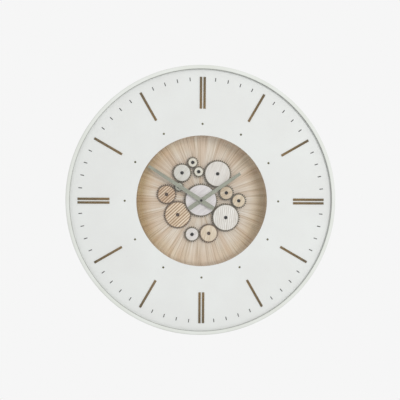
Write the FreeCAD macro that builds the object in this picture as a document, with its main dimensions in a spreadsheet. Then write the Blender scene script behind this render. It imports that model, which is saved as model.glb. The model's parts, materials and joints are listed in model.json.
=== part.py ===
# Round wall clock with a glazed white dial, a sunk wooden dish and a train of thirteen wooden gears.
# The clock faces -Y, +X is to the right, +Z is up, and the origin is on the dial axis at mid depth.
import FreeCAD, Part
import Sketcher
import math
import os
import re

from FreeCAD import Placement, Rotation, Vector

doc = FreeCAD.newDocument("gear_clock")

# Driving dimensions in millimetres and degrees
DRIVING = {
    "case_radius": 305.0,
    "case_depth": 80.0,
    "lip_reach": 8.3,
    "lip_thickness": 3.0,
    "rim_wall": 2.0,
    "rim_round": 1.6,
    "bezel_depth": 6.0,
    "edge_gap": 0.4,
    "glass_thickness": 3.0,
    "glass_space": 2.0,
    "spacer_width": 4.6,
    "dial_thickness": 3.0,
    "aperture_radius": 148.0,
    "rear_room": 20.0,
    "dish_wall": 4.0,
    "dish_flange": 16.0,
    "cove_radius": 14.0,
    "ring_width": 26.0,
    "board_thickness": 3.0,
    "board_land": 30.0,
    "baton_gap": 34.0,
    "baton_margin": 17.7,
    "baton_width": 5.4,
    "baton_thickness": 1.2,
    "baton_pair_pitch": 8.2,
    "dot_margin": 26.0,
    "dot_radius": 2.4,
    "dot_height": 0.7,
    "tick_margin": 22.3,
    "tick_length": 8.0,
    "tick_width": 2.0,
    "tick_thickness": 0.3,
    "screw_radius": 1.75,
    "screw_head_radius": 3.5,
    "screw_head_depth": 1.9,
    "board_screw_length": 16.0,
    "dish_screw_length": 6.0,
    "dish_screw_inset": 22.0,
    "hanger_width": 60.0,
    "hanger_height": 20.0,
    "hanger_plate": 2.0,
    "hanger_rise": 8.0,
    "hanger_pad_width": 30.0,
    "hanger_screw_inset": 8.0,
    "hanger_screw_radius": 2.0,
    "hanger_screw_head_radius": 3.6,
    "hanger_screw_head_height": 2.2,
    "hanger_screw_length": 14.0,
    "keyhole_radius": 5.0,
    "keyhole_slot_radius": 2.2,
    "keyhole_slot_rise": 6.6,
    "keyhole_drop": 3.0,
    "gear_module": 1.5,
    "gear_backlash": 0.32,
    "wheel_thickness": 3.0,
    "face_thickness": 1.0,
    "face_margin": 3.0,
    "floor_gap": 1.5,
    "layer_gap": 1.0,
    "pin_radius": 2.5,
    "running_gap": 0.05,
    "side_gap": 0.3,
    "collar_step": 2.5,
    "cap_overhang": 1.5,
    "cap_height": 1.6,
    "cap_crown": 0.5,
    "arbor_gap": 0.1,
    "hand_clearance": 5.5,
    "hand_thickness": 1.2,
    "hand_spacing": 1.8,
    "hand_half_width": 4.8,
    "hand_tip_half_width": 3.4,
    "hand_eye_radius": 5.4,
    "hand_tail": 34.0,
    "minute_margin": 3.0,
    "hour_shortfall": 35.0,
    "hour_angle": 55.25,
    "minute_angle": 303.0,
    "hand_nut_wall": 1.0,
    "hand_nut_height": 2.3,
    "shaft_end_cover": 1.0,
    "shaft_radius": 1.8,
    "tube_wall": 0.85,
    "bush_wall": 1.25,
    "bush_flange_width": 3.0,
    "bush_flange_thickness": 1.0,
    "bush_rise": 2.5,
    "bush_nut_width": 3.0,
    "bush_washer_width": 6.0,
    "washer_thickness": 1.0,
    "clip_width": 1.4,
    "clip_thickness": 0.8,
    "bay_end_wall": 2.35,
    "box_depth": 16.0,
    "box_wall": 1.6,
    "box_cover": 1.2,
    "box_round": 3.0,
    "cell_radius": 7.25,
    "cell_length": 50.5,
    "cell_nub_radius": 2.75,
    "cell_nub_length": 1.2,
    "cell_gap": 0.4,
    "box_gap": 2.1,
    "tube_flange_radius": 8.0,
    "tube_flange_thickness": 1.2,
    "flange_spacing": 1.2,
    "setting_module": 0.5,
    "setting_backlash": 0.1,
    "setting_wheel_thickness": 1.6,
    "setting_direction": 60.0,
    "knob_radius": 6.0,
    "knob_height": 2.0,
    "knob_stem_radius": 1.5,
    "knob_grip_radius": 0.9,
    "drive_wheel_radius": 8.0,
    "switch_travel": 4.0,
    "switch_length": 4.0,
    "switch_width": 3.0,
    "switch_height": 1.4,
    "switch_gap": 0.2,
    "switch_flange": 1.5,
    "switch_inset": 6.4,
    "overrun": 1.0,
}

# Shares of the gear module, of the pitch and of the full turn
ADDENDUM_SHARE = 0.8
DEDENDUM_SHARE = 1.05
FLANK_SHARES = (0.0, 0.5, 1.0)
PRESSURE_ANGLE = math.radians(25.0)

# Counts
BOARD_SCREWS = 12
DISH_SCREWS = 6
HOURS = 12
MINUTES = 60
KNOB_GRIPS = 12
SETTING_WHEEL_TEETH = 30
SETTING_PINION_TEETH = 10

# Heights along Y and radii that follow from the driving dimensions
DERIVED = {
    "front": "-case_depth / 2",
    "wall_plane": "case_depth / 2",
    "lip_back": "front + lip_thickness",
    "bezel_back": "front + bezel_depth",
    "glass_back": "lip_back + glass_thickness",
    "dial_front": "glass_back + glass_space",
    "dial_back": "dial_front + dial_thickness",
    "floor_back": "wall_plane - rear_room",
    "floor": "floor_back - dish_wall",
    "board_back": "floor_back + board_thickness",
    "inside_radius": "case_radius - rim_wall",
    "fitted_radius": "inside_radius - edge_gap",
    "lip_radius": "case_radius - lip_reach",
    "dot_circle": "aperture_radius + dot_margin",
    "baton_inner": "dot_circle + baton_gap",
    "baton_outer": "lip_radius - baton_margin",
    "tick_circle": "lip_radius - tick_margin",
    "board_opening": "aperture_radius - board_land",
    "dish_screw_circle": "aperture_radius - dish_screw_inset",
    "minute_reach": "aperture_radius - minute_margin",
    "hour_reach": "minute_reach - hour_shortfall",
    "ring_inner": "fitted_radius - ring_width",
    "ring_middle": "fitted_radius - ring_width / 2",
    "collar_radius": "pin_radius + collar_step",
    "cap_radius": "pin_radius + cap_overhang",
    "low_wheel_back": "floor - floor_gap",
    "low_wheel_front": "low_wheel_back - wheel_thickness",
    "low_face_front": "low_wheel_front - face_thickness",
    "high_wheel_back": "low_face_front - layer_gap",
    "high_wheel_front": "high_wheel_back - wheel_thickness",
    "high_face_front": "high_wheel_front - face_thickness",
    "hour_back": "high_face_front - hand_clearance",
    "hour_front": "hour_back - hand_thickness",
    "minute_back": "hour_front - hand_spacing",
    "minute_front": "minute_back - hand_thickness",
    "nut_front": "minute_front - hand_nut_height",
    "shaft_front": "nut_front + shaft_end_cover",
    "tube_bore": "shaft_radius + running_gap",
    "tube_radius": "tube_bore + tube_wall",
    "bush_bore": "tube_radius + running_gap",
    "bush_radius": "bush_bore + bush_wall",
    "bush_front": "high_face_front - bush_rise",
    "bush_flange_radius": "bush_radius + bush_flange_width",
    "bush_nut_radius": "bush_radius + bush_nut_width",
    "bush_washer_radius": "bush_radius + bush_washer_width",
    "clip_radius": "bush_radius + clip_width",
    "hand_nut_radius": "shaft_radius + hand_nut_wall",
    "box_front": "floor_back + washer_thickness",
    "cover_back": "box_front + box_cover",
    "box_back": "box_front + box_depth",
    "box_inside": "box_back - box_wall",
    "bush_flange_back": "cover_back + bush_flange_thickness",
    "tube_flange_front": "bush_flange_back + flange_spacing",
    "tube_flange_back": "tube_flange_front + tube_flange_thickness",
    "setting_front": "tube_flange_back + flange_spacing",
    "setting_back": "setting_front + setting_wheel_thickness",
    "setting_distance": "%d * setting_module / 2" % (SETTING_WHEEL_TEETH + SETTING_PINION_TEETH),
    "bay_half_length": "cell_length / 2 + cell_gap",
    "box_width": "(bay_half_length + bay_end_wall) * 2",
    "bay_low": "-(box_width / 2 - bay_end_wall)",
    "bay_high": "bay_low + (cell_radius + cell_gap) * 2",
    "bay_middle": "bay_low + cell_radius + cell_gap",
    "cavity_low": "bay_high + box_wall",
    "cavity_half": "box_width / 2 - box_wall",
    "switch_offset": "cavity_half - switch_inset",
    "drive_across": "box_width + box_gap",
    "hanger_pad_back": "board_back + hanger_rise",
    "hanger_pad_front": "hanger_pad_back - hanger_plate",
}

# The gears: their teeth, the gear that each meshes with, and the direction in which it lies from that gear
GEAR_TEETH = {
    "centre": 51,
    "lower_right": 43,
    "right": 23,
    "inner_right": 23,
    "upper_right": 42,
    "upper_middle": 17,
    "top": 17,
    "upper_left": 29,
    "link": 15,
    "left": 30,
    "lower_left": 42,
    "bottom": 29,
    "bottom_left": 23,
}
GEAR_DRIVERS = {
    "lower_right": "centre",
    "right": "lower_right",
    "inner_right": "right",
    "upper_right": "inner_right",
    "upper_middle": "upper_right",
    "top": "upper_middle",
    "upper_left": "top",
    "link": "upper_left",
    "left": "link",
    "lower_left": "left",
    "bottom": "lower_right",
    "bottom_left": "bottom",
}
GEAR_ANGLES = {
    "lower_right": -34.5,
    "right": 52.5,
    "inner_right": 148.0,
    "upper_right": 115.0,
    "upper_middle": 174.0,
    "top": 123.5,
    "upper_left": -135.5,
    "link": -102.0,
    "left": -148.0,
    "lower_left": -61.0,
    "bottom": -137.0,
    "bottom_left": -176.5,
}
LOW_GEARS = ("left", "lower_left")
DEEP_GEARS = ("link",)
BROWN_HUBS = ("left", "lower_left", "bottom")
DRIVEN_GEAR = "lower_right"

sheet = doc.addObject("Spreadsheet::Sheet", "Sizes")
for row, (alias, number) in enumerate(DRIVING.items(), start=1):
    sheet.set("A%d" % row, alias)
    sheet.set("B%d" % row, "%g" % number)
    sheet.setAlias("B%d" % row, alias)
doc.recompute()

subparts = {}


def bind(text):
    """An expression over the sheet, from words that name driving or derived sizes."""
    def swap(match):
        word = match.group(0)
        if word in DERIVED:
            return "(%s)" % bind(DERIVED[word])
        if word in DRIVING:
            return "Sizes." + word
        return word
    return re.sub(r"[a-z][a-z_]+", swap, text)


def value(text):
    """The number that an expression over the sheet stands for now."""
    return float(sheet.evalExpression(bind(text)))


def keep(label, item):
    """Registers an object as the sub-part that its label names."""
    item.Label = label
    subparts[label] = item
    return item


def plane_of(body, role):
    """The origin plane of a body that has this role."""
    return [item for item in body.Origin.OriginFeatures if item.Role == role][0]


def new_body(name):
    return doc.addObject("PartDesign::Body", name)


def new_sketch(body, name, role, depth="0"):
    """A sketch on an origin plane. On XZ_Plane its depth is a height along Y."""
    sketch = body.newObject("Sketcher::SketchObject", name)
    sketch.AttachmentSupport = [(plane_of(body, role), "")]
    sketch.MapMode = "FlatFace"
    if depth != "0":
        sketch.setExpression("AttachmentOffset.Base.z", bind("-(%s)" % depth))
    return sketch


def pin_point(sketch, edge, end, across, up):
    """Ties one point of a sketch to the origin with two bound distances."""
    for kind, axis, text in (("DistanceX", -2, across), ("DistanceY", -1, up)):
        number = value(text)
        if text == "0":
            sketch.addConstraint(Sketcher.Constraint("PointOnObject", edge, end, axis))
            continue
        place = sketch.addConstraint(Sketcher.Constraint(kind, -1, 1, edge, end, number))
        sketch.setExpression("Constraints[%d]" % place, bind(text))


def add_outline(sketch, points):
    """A closed outline. Each point is (across, up), or (across, up, radius, turn) where the edge
    that leaves it is an arc, with turn +1 for an arc whose centre is on the left of its chord."""
    places = [Vector(value(point[0]), value(point[1]), 0) for point in points]
    edges = []
    for index, point in enumerate(points):
        start = places[index]
        end = places[(index + 1) % len(points)]
        if len(point) == 2:
            edges.append((sketch.addGeometry(Part.LineSegment(start, end)), 1, 2))
            continue
        radius = value(point[2])
        chord = end - start
        reach = math.sqrt(max(radius ** 2 - (chord.Length / 2) ** 2, 0))
        left = Vector(-chord.y, chord.x, 0).normalize()
        centre = (start + end) * 0.5 + left * (reach * point[3])
        to_start = start - centre
        to_end = end - centre
        first = math.atan2(to_start.y, to_start.x)
        last = math.atan2(to_end.y, to_end.x)
        circle = Part.Circle(centre, Vector(0, 0, 1), radius)
        if point[3] > 0:
            edges.append((sketch.addGeometry(Part.ArcOfCircle(circle, first, last)), 1, 2))
        else:
            edges.append((sketch.addGeometry(Part.ArcOfCircle(circle, last, first)), 2, 1))
        place = sketch.addConstraint(Sketcher.Constraint("Radius", edges[-1][0], radius))
        sketch.setExpression("Constraints[%d]" % place, bind(point[2]))
    for index, (edge, start_end, far_end) in enumerate(edges):
        follower, follower_start, _ = edges[(index + 1) % len(edges)]
        sketch.addConstraint(Sketcher.Constraint("Coincident", edge, far_end, follower, follower_start))
        pin_point(sketch, edge, start_end, points[index][0], points[index][1])


def add_circle(sketch, across, up, radius):
    centre = Vector(value(across), value(up), 0)
    circle = sketch.addGeometry(Part.Circle(centre, Vector(0, 0, 1), value(radius)))
    place = sketch.addConstraint(Sketcher.Constraint("Radius", circle, value(radius)))
    sketch.setExpression("Constraints[%d]" % place, bind(radius))
    pin_point(sketch, circle, 3, across, up)


def rectangle(left, low, right, high):
    """Corner points of a rectangle, anticlockwise."""
    return [(left, low), (right, low), (right, high), (left, high)]


def rounded(half, radius):
    """Corner points and arcs of a square about the origin with rounded corners, anticlockwise."""
    side = "%s - %s" % (half, radius)
    return [
        ("-(%s)" % side, "-" + half),
        (side, "-" + half, radius, 1),
        (half, "-(%s)" % side),
        (half, side, radius, 1),
        (side, half),
        ("-(%s)" % side, half, radius, 1),
        ("-" + half, side),
        ("-" + half, "-(%s)" % side, radius, 1),
    ]


def turned(name, points):
    """A body turned about the Y axis from an outline of (radius, height along Y) points."""
    body = new_body(name)
    sketch = new_sketch(body, name + "_profile", "XY_Plane")
    add_outline(sketch, points)
    revolution = body.newObject("PartDesign::Revolution", name + "_turn")
    revolution.Profile = sketch
    revolution.ReferenceAxis = (sketch, ["V_Axis"])
    revolution.Angle = 360.0
    return body


def ring(name, inner, outer, low, high):
    return turned(name, rectangle(inner, low, outer, high))


def pad(body, sketch, length, name):
    """A pad towards the front, -Y, for a sketch on the XZ plane."""
    feature = body.newObject("PartDesign::Pad", name)
    feature.Profile = sketch
    feature.setExpression("Length", bind(length))
    return feature


def pocket(body, sketch, length, name):
    """A pocket towards the back, +Y, from a sketch on the XZ plane that lies in front of the metal."""
    doc.recompute()
    before = body.Shape.Volume
    feature = body.newObject("PartDesign::Pocket", name)
    feature.Profile = sketch
    feature.setExpression("Length", bind(length))
    doc.recompute()
    if body.Shape.Volume >= before:
        raise RuntimeError("pocket removes nothing: %s" % name)
    return feature


def cylinder(name, radius, low, high, across="0", up="0"):
    """A Part cylinder along Y, from one height to another."""
    item = doc.addObject("Part::Cylinder", name)
    item.setExpression("Radius", bind(radius))
    item.setExpression("Height", bind("(%s) - (%s)" % (high, low)))
    item.Placement = Placement(Vector(), Rotation(Vector(1, 0, 0), -90))
    item.setExpression("Placement.Base.x", bind(across))
    item.setExpression("Placement.Base.y", bind(low))
    item.setExpression("Placement.Base.z", bind(up))
    return item


def cut(name, base, tool):
    item = doc.addObject("Part::Cut", name)
    item.Base = base
    item.Tool = tool
    return item


def fuse(name, pieces):
    item = doc.addObject("Part::MultiFuse", name)
    item.Shapes = pieces
    return item


def group(name, source, placements):
    """Copies of one shape as a group of separate solids."""
    doc.recompute()
    copies = []
    for placement in placements:
        copy = source.Shape.copy()
        copy.Placement = placement.multiply(copy.Placement)
        copies.append(copy)
    item = doc.addObject("Part::Feature", name)
    item.Shape = Part.makeCompound(copies)
    return item


def clockwise(degrees):
    """A turn about the dial axis, clockwise as seen from the front."""
    return Placement(Vector(), Rotation(Vector(0, 1, 0), degrees))


def at(across, up):
    return Placement(Vector(across, 0, up), Rotation())


# Tooth geometry
def involute(angle):
    return math.tan(angle) - angle


def tooth_points(teeth, module, backlash):
    """Corners of a toothed outline about the origin, in X and Z, with a tooth centred on +X."""
    pitch_radius = teeth * module / 2
    base_radius = pitch_radius * math.cos(PRESSURE_ANGLE)
    tip = pitch_radius + ADDENDUM_SHARE * module
    root = pitch_radius - DEDENDUM_SHARE * module
    start = max(root, base_radius)
    half_tooth = math.pi / (2 * teeth) - backlash / (2 * pitch_radius)
    flank = []
    if root < base_radius:
        flank.append((root, half_tooth + involute(PRESSURE_ANGLE)))
    for share in FLANK_SHARES:
        radius = start + (tip - start) * share
        slope = math.acos(min(base_radius / radius, 1))
        flank.append((radius, half_tooth + involute(PRESSURE_ANGLE) - involute(slope)))
    corners = []
    for tooth in range(teeth):
        middle = 2 * math.pi * tooth / teeth
        side = [(radius, middle - angle) for radius, angle in flank]
        side += [(radius, middle + angle) for radius, angle in reversed(flank)]
        corners += [Vector(radius * math.cos(angle), 0, radius * math.sin(angle)) for radius, angle in side]
    return corners


def toothed_wheel(name, teeth, module, backlash, bore, thickness):
    """A toothed wheel with its back face on Y = 0, padded towards the front."""
    corners = tooth_points(teeth, value(module), value(backlash))
    rim = Part.makePolygon(corners + corners[:1])
    outline = doc.addObject("Part::Feature", name + "_outline")
    if bore:
        hole = Part.Wire(Part.makeCircle(value(bore), Vector(), Vector(0, 1, 0)))
        outline.Shape = Part.makeFace([rim, hole], "Part::FaceMakerBullseye")
    else:
        outline.Shape = Part.makeFace([rim], "Part::FaceMakerBullseye")
    wheel = doc.addObject("Part::Extrusion", name)
    wheel.Base = outline
    wheel.DirMode = "Custom"
    wheel.Dir = Vector(0, -1, 0)
    wheel.Solid = True
    wheel.setExpression("LengthFwd", bind(thickness))
    return wheel


def mesh_phase(teeth, phase, follower_teeth, direction):
    """The turn that puts a gear in mesh with the one before it, in degrees in the XZ plane."""
    driver_share = (direction - phase) * teeth / 360
    return direction + 180 - (0.5 - driver_share) * 360 / follower_teeth


def lay_out_gears():
    """Centre and phase of each gear, following the train from the centre gear."""
    module = value("gear_module")
    places = {"centre": (0.0, 0.0, 0.0)}
    for name, driver in GEAR_DRIVERS.items():
        driver_across, driver_up, driver_phase = places[driver]
        direction = GEAR_ANGLES[name]
        distance = (GEAR_TEETH[name] + GEAR_TEETH[driver]) * module / 2
        phase = mesh_phase(GEAR_TEETH[driver], driver_phase, GEAR_TEETH[name], direction)
        across = driver_across + distance * math.cos(math.radians(direction))
        up = driver_up + distance * math.sin(math.radians(direction))
        places[name] = (across, up, phase)
    return places


GEAR_PLACES = lay_out_gears()


# Case, glass and dial
def make_case():
    """The spun front bezel and the rolled band that it is seamed to."""
    keep("case_bezel", turned("case_bezel", [
        ("lip_radius", "lip_back"),
        ("lip_radius", "front + rim_round", "rim_round", 1),
        ("lip_radius + rim_round", "front"),
        ("case_radius - rim_round * 2", "front", "rim_round * 2", 1),
        ("case_radius", "front + rim_round * 2"),
        ("case_radius", "bezel_back"),
        ("inside_radius", "bezel_back"),
        ("inside_radius", "lip_back"),
    ]))
    keep("case_band", ring("case_band", "inside_radius", "case_radius", "bezel_back", "wall_plane"))


def make_dial_stack():
    glass = turned("front_glass", rectangle("0", "lip_back", "fitted_radius", "glass_back"))
    keep("front_glass", glass)
    keep("glass_spacer", ring("glass_spacer", "fitted_radius - spacer_width", "fitted_radius",
                              "glass_back", "dial_front"))
    keep("dial", ring("dial", "aperture_radius", "fitted_radius", "dial_front", "dial_back"))


def make_bar(name, low, high, width, thickness):
    """A flat bar on the dial at twelve o'clock."""
    body = new_body(name)
    sketch = new_sketch(body, name + "_outline", "XZ_Plane", "dial_front")
    add_outline(sketch, rectangle("-%s / 2" % width, low, "%s / 2" % width, high))
    pad(body, sketch, thickness, name + "_pad")
    return body


def make_dial_marks():
    bar = make_bar("middle_bar", "baton_inner", "baton_outer", "baton_width", "baton_thickness")
    tick = make_bar("minute_tick", "tick_circle - tick_length / 2", "tick_circle + tick_length / 2",
                    "tick_width", "tick_thickness")
    side = value("baton_pair_pitch / 2")
    batons = []
    for hour in range(HOURS):
        turn = clockwise(360 * hour / HOURS)
        if hour % 3 == 0:
            batons += [turn.multiply(at(-side, 0)), turn.multiply(at(side, 0))]
        else:
            batons.append(turn)
    keep("hour_batons", group("hour_batons", bar, batons))
    minutes = [minute for minute in range(MINUTES) if minute % (MINUTES // HOURS)]
    keep("minute_marks", group("minute_marks", tick, [clockwise(360 * minute / MINUTES) for minute in minutes]))
    dot = turned("hour_dot", [
        ("0", "dial_front"),
        ("0", "dial_front - dot_height"),
        ("dot_radius - dot_height", "dial_front - dot_height", "dot_height", 1),
        ("dot_radius", "dial_front"),
    ])
    circle = value("dot_circle")
    turns = [clockwise(360 * hour / HOURS).multiply(at(0, circle)) for hour in range(HOURS)]
    keep("hour_dots", group("hour_dots", dot, turns))


# Screws, ring and back board
def make_countersunk(name, length):
    """A countersunk screw along Y with its head's face on the back of the board or dish."""
    return turned(name, [
        ("0", "board_back"),
        ("0", "board_back - %s" % length),
        ("screw_radius", "board_back - %s" % length),
        ("screw_radius", "board_back - screw_head_depth"),
        ("screw_head_radius", "board_back"),
    ])


def make_back():
    long_screw = make_countersunk("board_screw", "board_screw_length")
    short_screw = make_countersunk("dish_screw", "dish_screw_length")
    ring_circle = value("ring_middle")
    dish_circle = value("dish_screw_circle")
    board_turns = [clockwise(360 * (index + 0.5) / BOARD_SCREWS).multiply(at(0, ring_circle))
                   for index in range(BOARD_SCREWS)]
    dish_turns = [clockwise(360 * index / DISH_SCREWS).multiply(at(0, dish_circle))
                  for index in range(DISH_SCREWS)]
    board_screws = keep("board_screws", group("board_screws", long_screw, board_turns))
    dish_screws = keep("dish_screws", group("dish_screws", short_screw, dish_turns))
    hanger_screw = turned("hanger_screw", [
        ("0", "board_back + hanger_plate + hanger_screw_head_height"),
        ("0", "board_back + hanger_plate - hanger_screw_length"),
        ("hanger_screw_radius", "board_back + hanger_plate - hanger_screw_length"),
        ("hanger_screw_radius", "board_back + hanger_plate"),
        ("hanger_screw_head_radius", "board_back + hanger_plate"),
        ("hanger_screw_head_radius", "board_back + hanger_plate + hanger_screw_head_height / 2"),
        ("hanger_screw_head_radius / 2", "board_back + hanger_plate + hanger_screw_head_height"),
    ])
    spread = value("hanger_width / 2 - hanger_screw_inset")
    hanger_screws = keep("hanger_screws", group("hanger_screws", hanger_screw,
                                                [at(-spread, ring_circle), at(spread, ring_circle)]))
    blank_ring = ring("ring_blank", "ring_inner", "fitted_radius", "dial_back", "floor_back")
    blank_board = ring("board_blank", "board_opening", "fitted_radius", "floor_back", "board_back")
    ring_holes = doc.addObject("Part::Compound", "ring_holes")
    ring_holes.Links = [board_screws, hanger_screws]
    board_holes = doc.addObject("Part::Compound", "board_holes")
    board_holes.Links = [board_screws, dish_screws, hanger_screws]
    keep("body_ring", cut("body_ring", blank_ring, ring_holes))
    keep("back_board", cut("back_board", blank_board, board_holes))
    return dish_screws


def make_hanger():
    """A top-hat steel plate with a keyhole in its raised pad."""
    body = new_body("hanger_blank")
    sketch = new_sketch(body, "hanger_section", "XY_Plane")
    foot_back = "board_back + hanger_plate"
    add_outline(sketch, [
        ("-hanger_width / 2", "board_back"),
        ("-hanger_pad_width / 2 + hanger_plate", "board_back"),
        ("-hanger_pad_width / 2 + hanger_plate", "hanger_pad_front"),
        ("hanger_pad_width / 2 - hanger_plate", "hanger_pad_front"),
        ("hanger_pad_width / 2 - hanger_plate", "board_back"),
        ("hanger_width / 2", "board_back"),
        ("hanger_width / 2", foot_back),
        ("hanger_pad_width / 2", foot_back),
        ("hanger_pad_width / 2", "hanger_pad_back"),
        ("-hanger_pad_width / 2", "hanger_pad_back"),
        ("-hanger_pad_width / 2", foot_back),
        ("-hanger_width / 2", foot_back),
    ])
    sketch.setExpression("AttachmentOffset.Base.z", bind("ring_middle"))
    plate = pad(body, sketch, "hanger_height", "hanger_pad")
    plate.Midplane = True
    low = "ring_middle - keyhole_drop"
    high = low + " + keyhole_slot_rise"
    plane = "hanger_pad_front - overrun"
    head = new_sketch(body, "keyhole_head", "XZ_Plane", plane)
    add_circle(head, "0", low, "keyhole_radius")
    slot = new_sketch(body, "keyhole_slot", "XZ_Plane", plane)
    add_outline(slot, rectangle("-keyhole_slot_radius", low, "keyhole_slot_radius", high))
    end = new_sketch(body, "keyhole_end", "XZ_Plane", plane)
    add_circle(end, "0", high, "keyhole_slot_radius")
    for opening in (head, slot, end):
        pocket(body, opening, "hanger_plate + overrun * 2", opening.Label + "_pocket")
    bolt = cylinder("hanger_bolt_hole", "hanger_screw_radius", "board_back - overrun",
                    foot_back + " + overrun")
    spread = value("hanger_width / 2 - hanger_screw_inset")
    height = value("ring_middle")
    holes = group("hanger_bolt_holes", bolt, [at(-spread, height), at(spread, height)])
    keep("hanger_plate", cut("hanger_plate", body, holes))


# Dish
def make_dish(pins, dish_screws):
    blank = turned("dish_blank", [
        ("0", "floor"),
        ("aperture_radius - cove_radius", "floor", "cove_radius", -1),
        ("aperture_radius", "floor - cove_radius"),
        ("aperture_radius", "dial_back"),
        ("aperture_radius + dish_flange", "dial_back"),
        ("aperture_radius + dish_flange", "dial_back + dish_wall"),
        ("aperture_radius + dish_wall", "dial_back + dish_wall"),
        ("aperture_radius + dish_wall", "floor - cove_radius", "cove_radius + dish_wall", 1),
        ("aperture_radius - cove_radius", "floor_back"),
        ("0", "floor_back"),
    ])
    bush_hole = cylinder("bush_hole", "bush_radius + arbor_gap", "floor - overrun", "floor_back + overrun")
    across, up, _ = GEAR_PLACES[DRIVEN_GEAR]
    arbor = cylinder("arbor_hole_tool", "pin_radius + arbor_gap", "floor - overrun", "floor_back + overrun")
    arbor_hole = group("arbor_hole", arbor, [at(across, up)])
    holes = doc.addObject("Part::Compound", "dish_holes")
    holes.Links = [pins, dish_screws, bush_hole, arbor_hole]
    keep("wooden_dish", cut("wooden_dish", blank, holes))


# Gears, pins and caps
def gear_heights(name):
    """Back and front of a toothed wheel, as expressions."""
    if name in LOW_GEARS:
        return "low_wheel_back", "low_wheel_front"
    if name in DEEP_GEARS:
        return "low_wheel_back", "high_wheel_front"
    return "high_wheel_back", "high_wheel_front"


def gear_bore(name):
    if name == "centre":
        return "bush_radius + running_gap"
    if name == DRIVEN_GEAR:
        return "pin_radius"
    return "pin_radius + running_gap"


def make_gear(name):
    teeth = GEAR_TEETH[name]
    across, up, phase = GEAR_PLACES[name]
    back, front = gear_heights(name)
    bore = gear_bore(name)
    label = name + "_gear"
    wheel = toothed_wheel(label, teeth, "gear_module", "gear_backlash", bore, "(%s) - (%s)" % (back, front))
    wheel.Placement = Placement(Vector(across, value(back), up), Rotation(Vector(0, 1, 0), -phase))
    keep(label, wheel)
    face_radius = "%d * gear_module / 2 - face_margin" % teeth
    disc = cylinder(label + "_disc", face_radius, "%s - face_thickness" % front, front)
    hole = cylinder(label + "_disc_hole", bore, "%s - face_thickness - overrun" % front, "%s + overrun" % front)
    face = cut(label + "_face", disc, hole)
    face.Placement = Placement(Vector(across, 0, up), Rotation())
    keep(label + "_face", face)


def make_pins():
    """Fixed pins with a collar that carries the gear, and the caps that keep it on."""
    pins = []
    caps = {True: [], False: []}
    for name in GEAR_TEETH:
        if name in ("centre", DRIVEN_GEAR):
            continue
        back, front = gear_heights(name)
        face = "%s - face_thickness" % front
        pin = turned(name + "_pin", [
            ("0", "floor_back"),
            ("0", "%s - side_gap" % face),
            ("pin_radius", "%s - side_gap" % face),
            ("pin_radius", "%s + side_gap" % back),
            ("collar_radius", "%s + side_gap" % back),
            ("collar_radius", "floor"),
            ("pin_radius", "floor"),
            ("pin_radius", "floor_back"),
        ])
        cap = turned(name + "_cap", [
            ("0", "%s - side_gap" % face),
            ("0", "%s - side_gap - cap_height" % face),
            ("cap_radius - cap_crown * 2", "%s - side_gap - cap_height" % face),
            ("cap_radius", "%s - side_gap - cap_height + cap_crown" % face),
            ("cap_radius", "%s - side_gap" % face),
        ])
        across, up, _ = GEAR_PLACES[name]
        pins.append(group(name + "_pin_set", pin, [at(across, up)]))
        caps[name in BROWN_HUBS].append(group(name + "_cap_set", cap, [at(across, up)]))
    together = doc.addObject("Part::Compound", "gear_pins")
    together.Links = pins
    keep("gear_pins", together)
    for brown, label in ((False, "black_caps"), (True, "brown_caps")):
        item = doc.addObject("Part::Compound", label)
        item.Links = caps[brown]
        keep(label, item)
    return together


def make_drive_arbor():
    """The shaft that the drive unit turns: head, shank, collar and its wheel inside the unit."""
    head = "high_face_front - cap_height"
    arbor = turned("arbor_turned", [
        ("0", head),
        ("cap_radius - cap_crown * 2", head),
        ("cap_radius", head + " + cap_crown"),
        ("cap_radius", "high_face_front"),
        ("pin_radius", "high_face_front"),
        ("pin_radius", "high_wheel_back"),
        ("collar_radius", "high_wheel_back"),
        ("collar_radius", "floor - side_gap"),
        ("pin_radius", "floor - side_gap"),
        ("pin_radius", "tube_flange_front"),
        ("drive_wheel_radius", "tube_flange_front"),
        ("drive_wheel_radius", "tube_flange_back"),
        ("pin_radius", "tube_flange_back"),
        ("pin_radius", "setting_back"),
        ("0", "setting_back"),
    ])
    across, up, _ = GEAR_PLACES[DRIVEN_GEAR]
    keep("drive_arbor", group("drive_arbor", arbor, [at(across, up)]))


# Hands
def make_hand(label, reach, back, bore, angle):
    body = new_body(label)
    sketch = new_sketch(body, label + "_outline", "XZ_Plane", back)
    add_outline(sketch, [
        ("-hand_half_width", "-hand_tail"),
        ("hand_half_width", "-hand_tail"),
        ("hand_half_width", "hand_half_width"),
        ("hand_tip_half_width", reach),
        ("-hand_tip_half_width", reach),
        ("-hand_half_width", "hand_half_width"),
    ])
    pad(body, sketch, "hand_thickness", label + "_pad")
    eye = new_sketch(body, label + "_eye", "XZ_Plane", back)
    add_circle(eye, "0", "0", "hand_eye_radius")
    pad(body, eye, "hand_thickness", label + "_eye_pad")
    hole = new_sketch(body, label + "_bore", "XZ_Plane", back + " - hand_thickness - overrun")
    add_circle(hole, "0", "0", bore)
    pocket(body, hole, "hand_thickness + overrun * 2", label + "_bore_pocket")
    body.Placement = clockwise(value(angle))
    keep(label, body)


def make_hands():
    make_hand("hour_hand", "hour_reach", "hour_back", "tube_radius", "hour_angle")
    make_hand("minute_hand", "minute_reach", "minute_back", "shaft_radius", "minute_angle")
    nut = turned("hand_nut", [
        ("0", "shaft_front"),
        ("0", "nut_front"),
        ("hand_nut_radius - cap_crown", "nut_front", "cap_crown", 1),
        ("hand_nut_radius", "nut_front + cap_crown"),
        ("hand_nut_radius", "minute_front"),
        ("shaft_radius", "minute_front"),
        ("shaft_radius", "shaft_front"),
    ])
    keep("hand_nut", nut)


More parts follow.
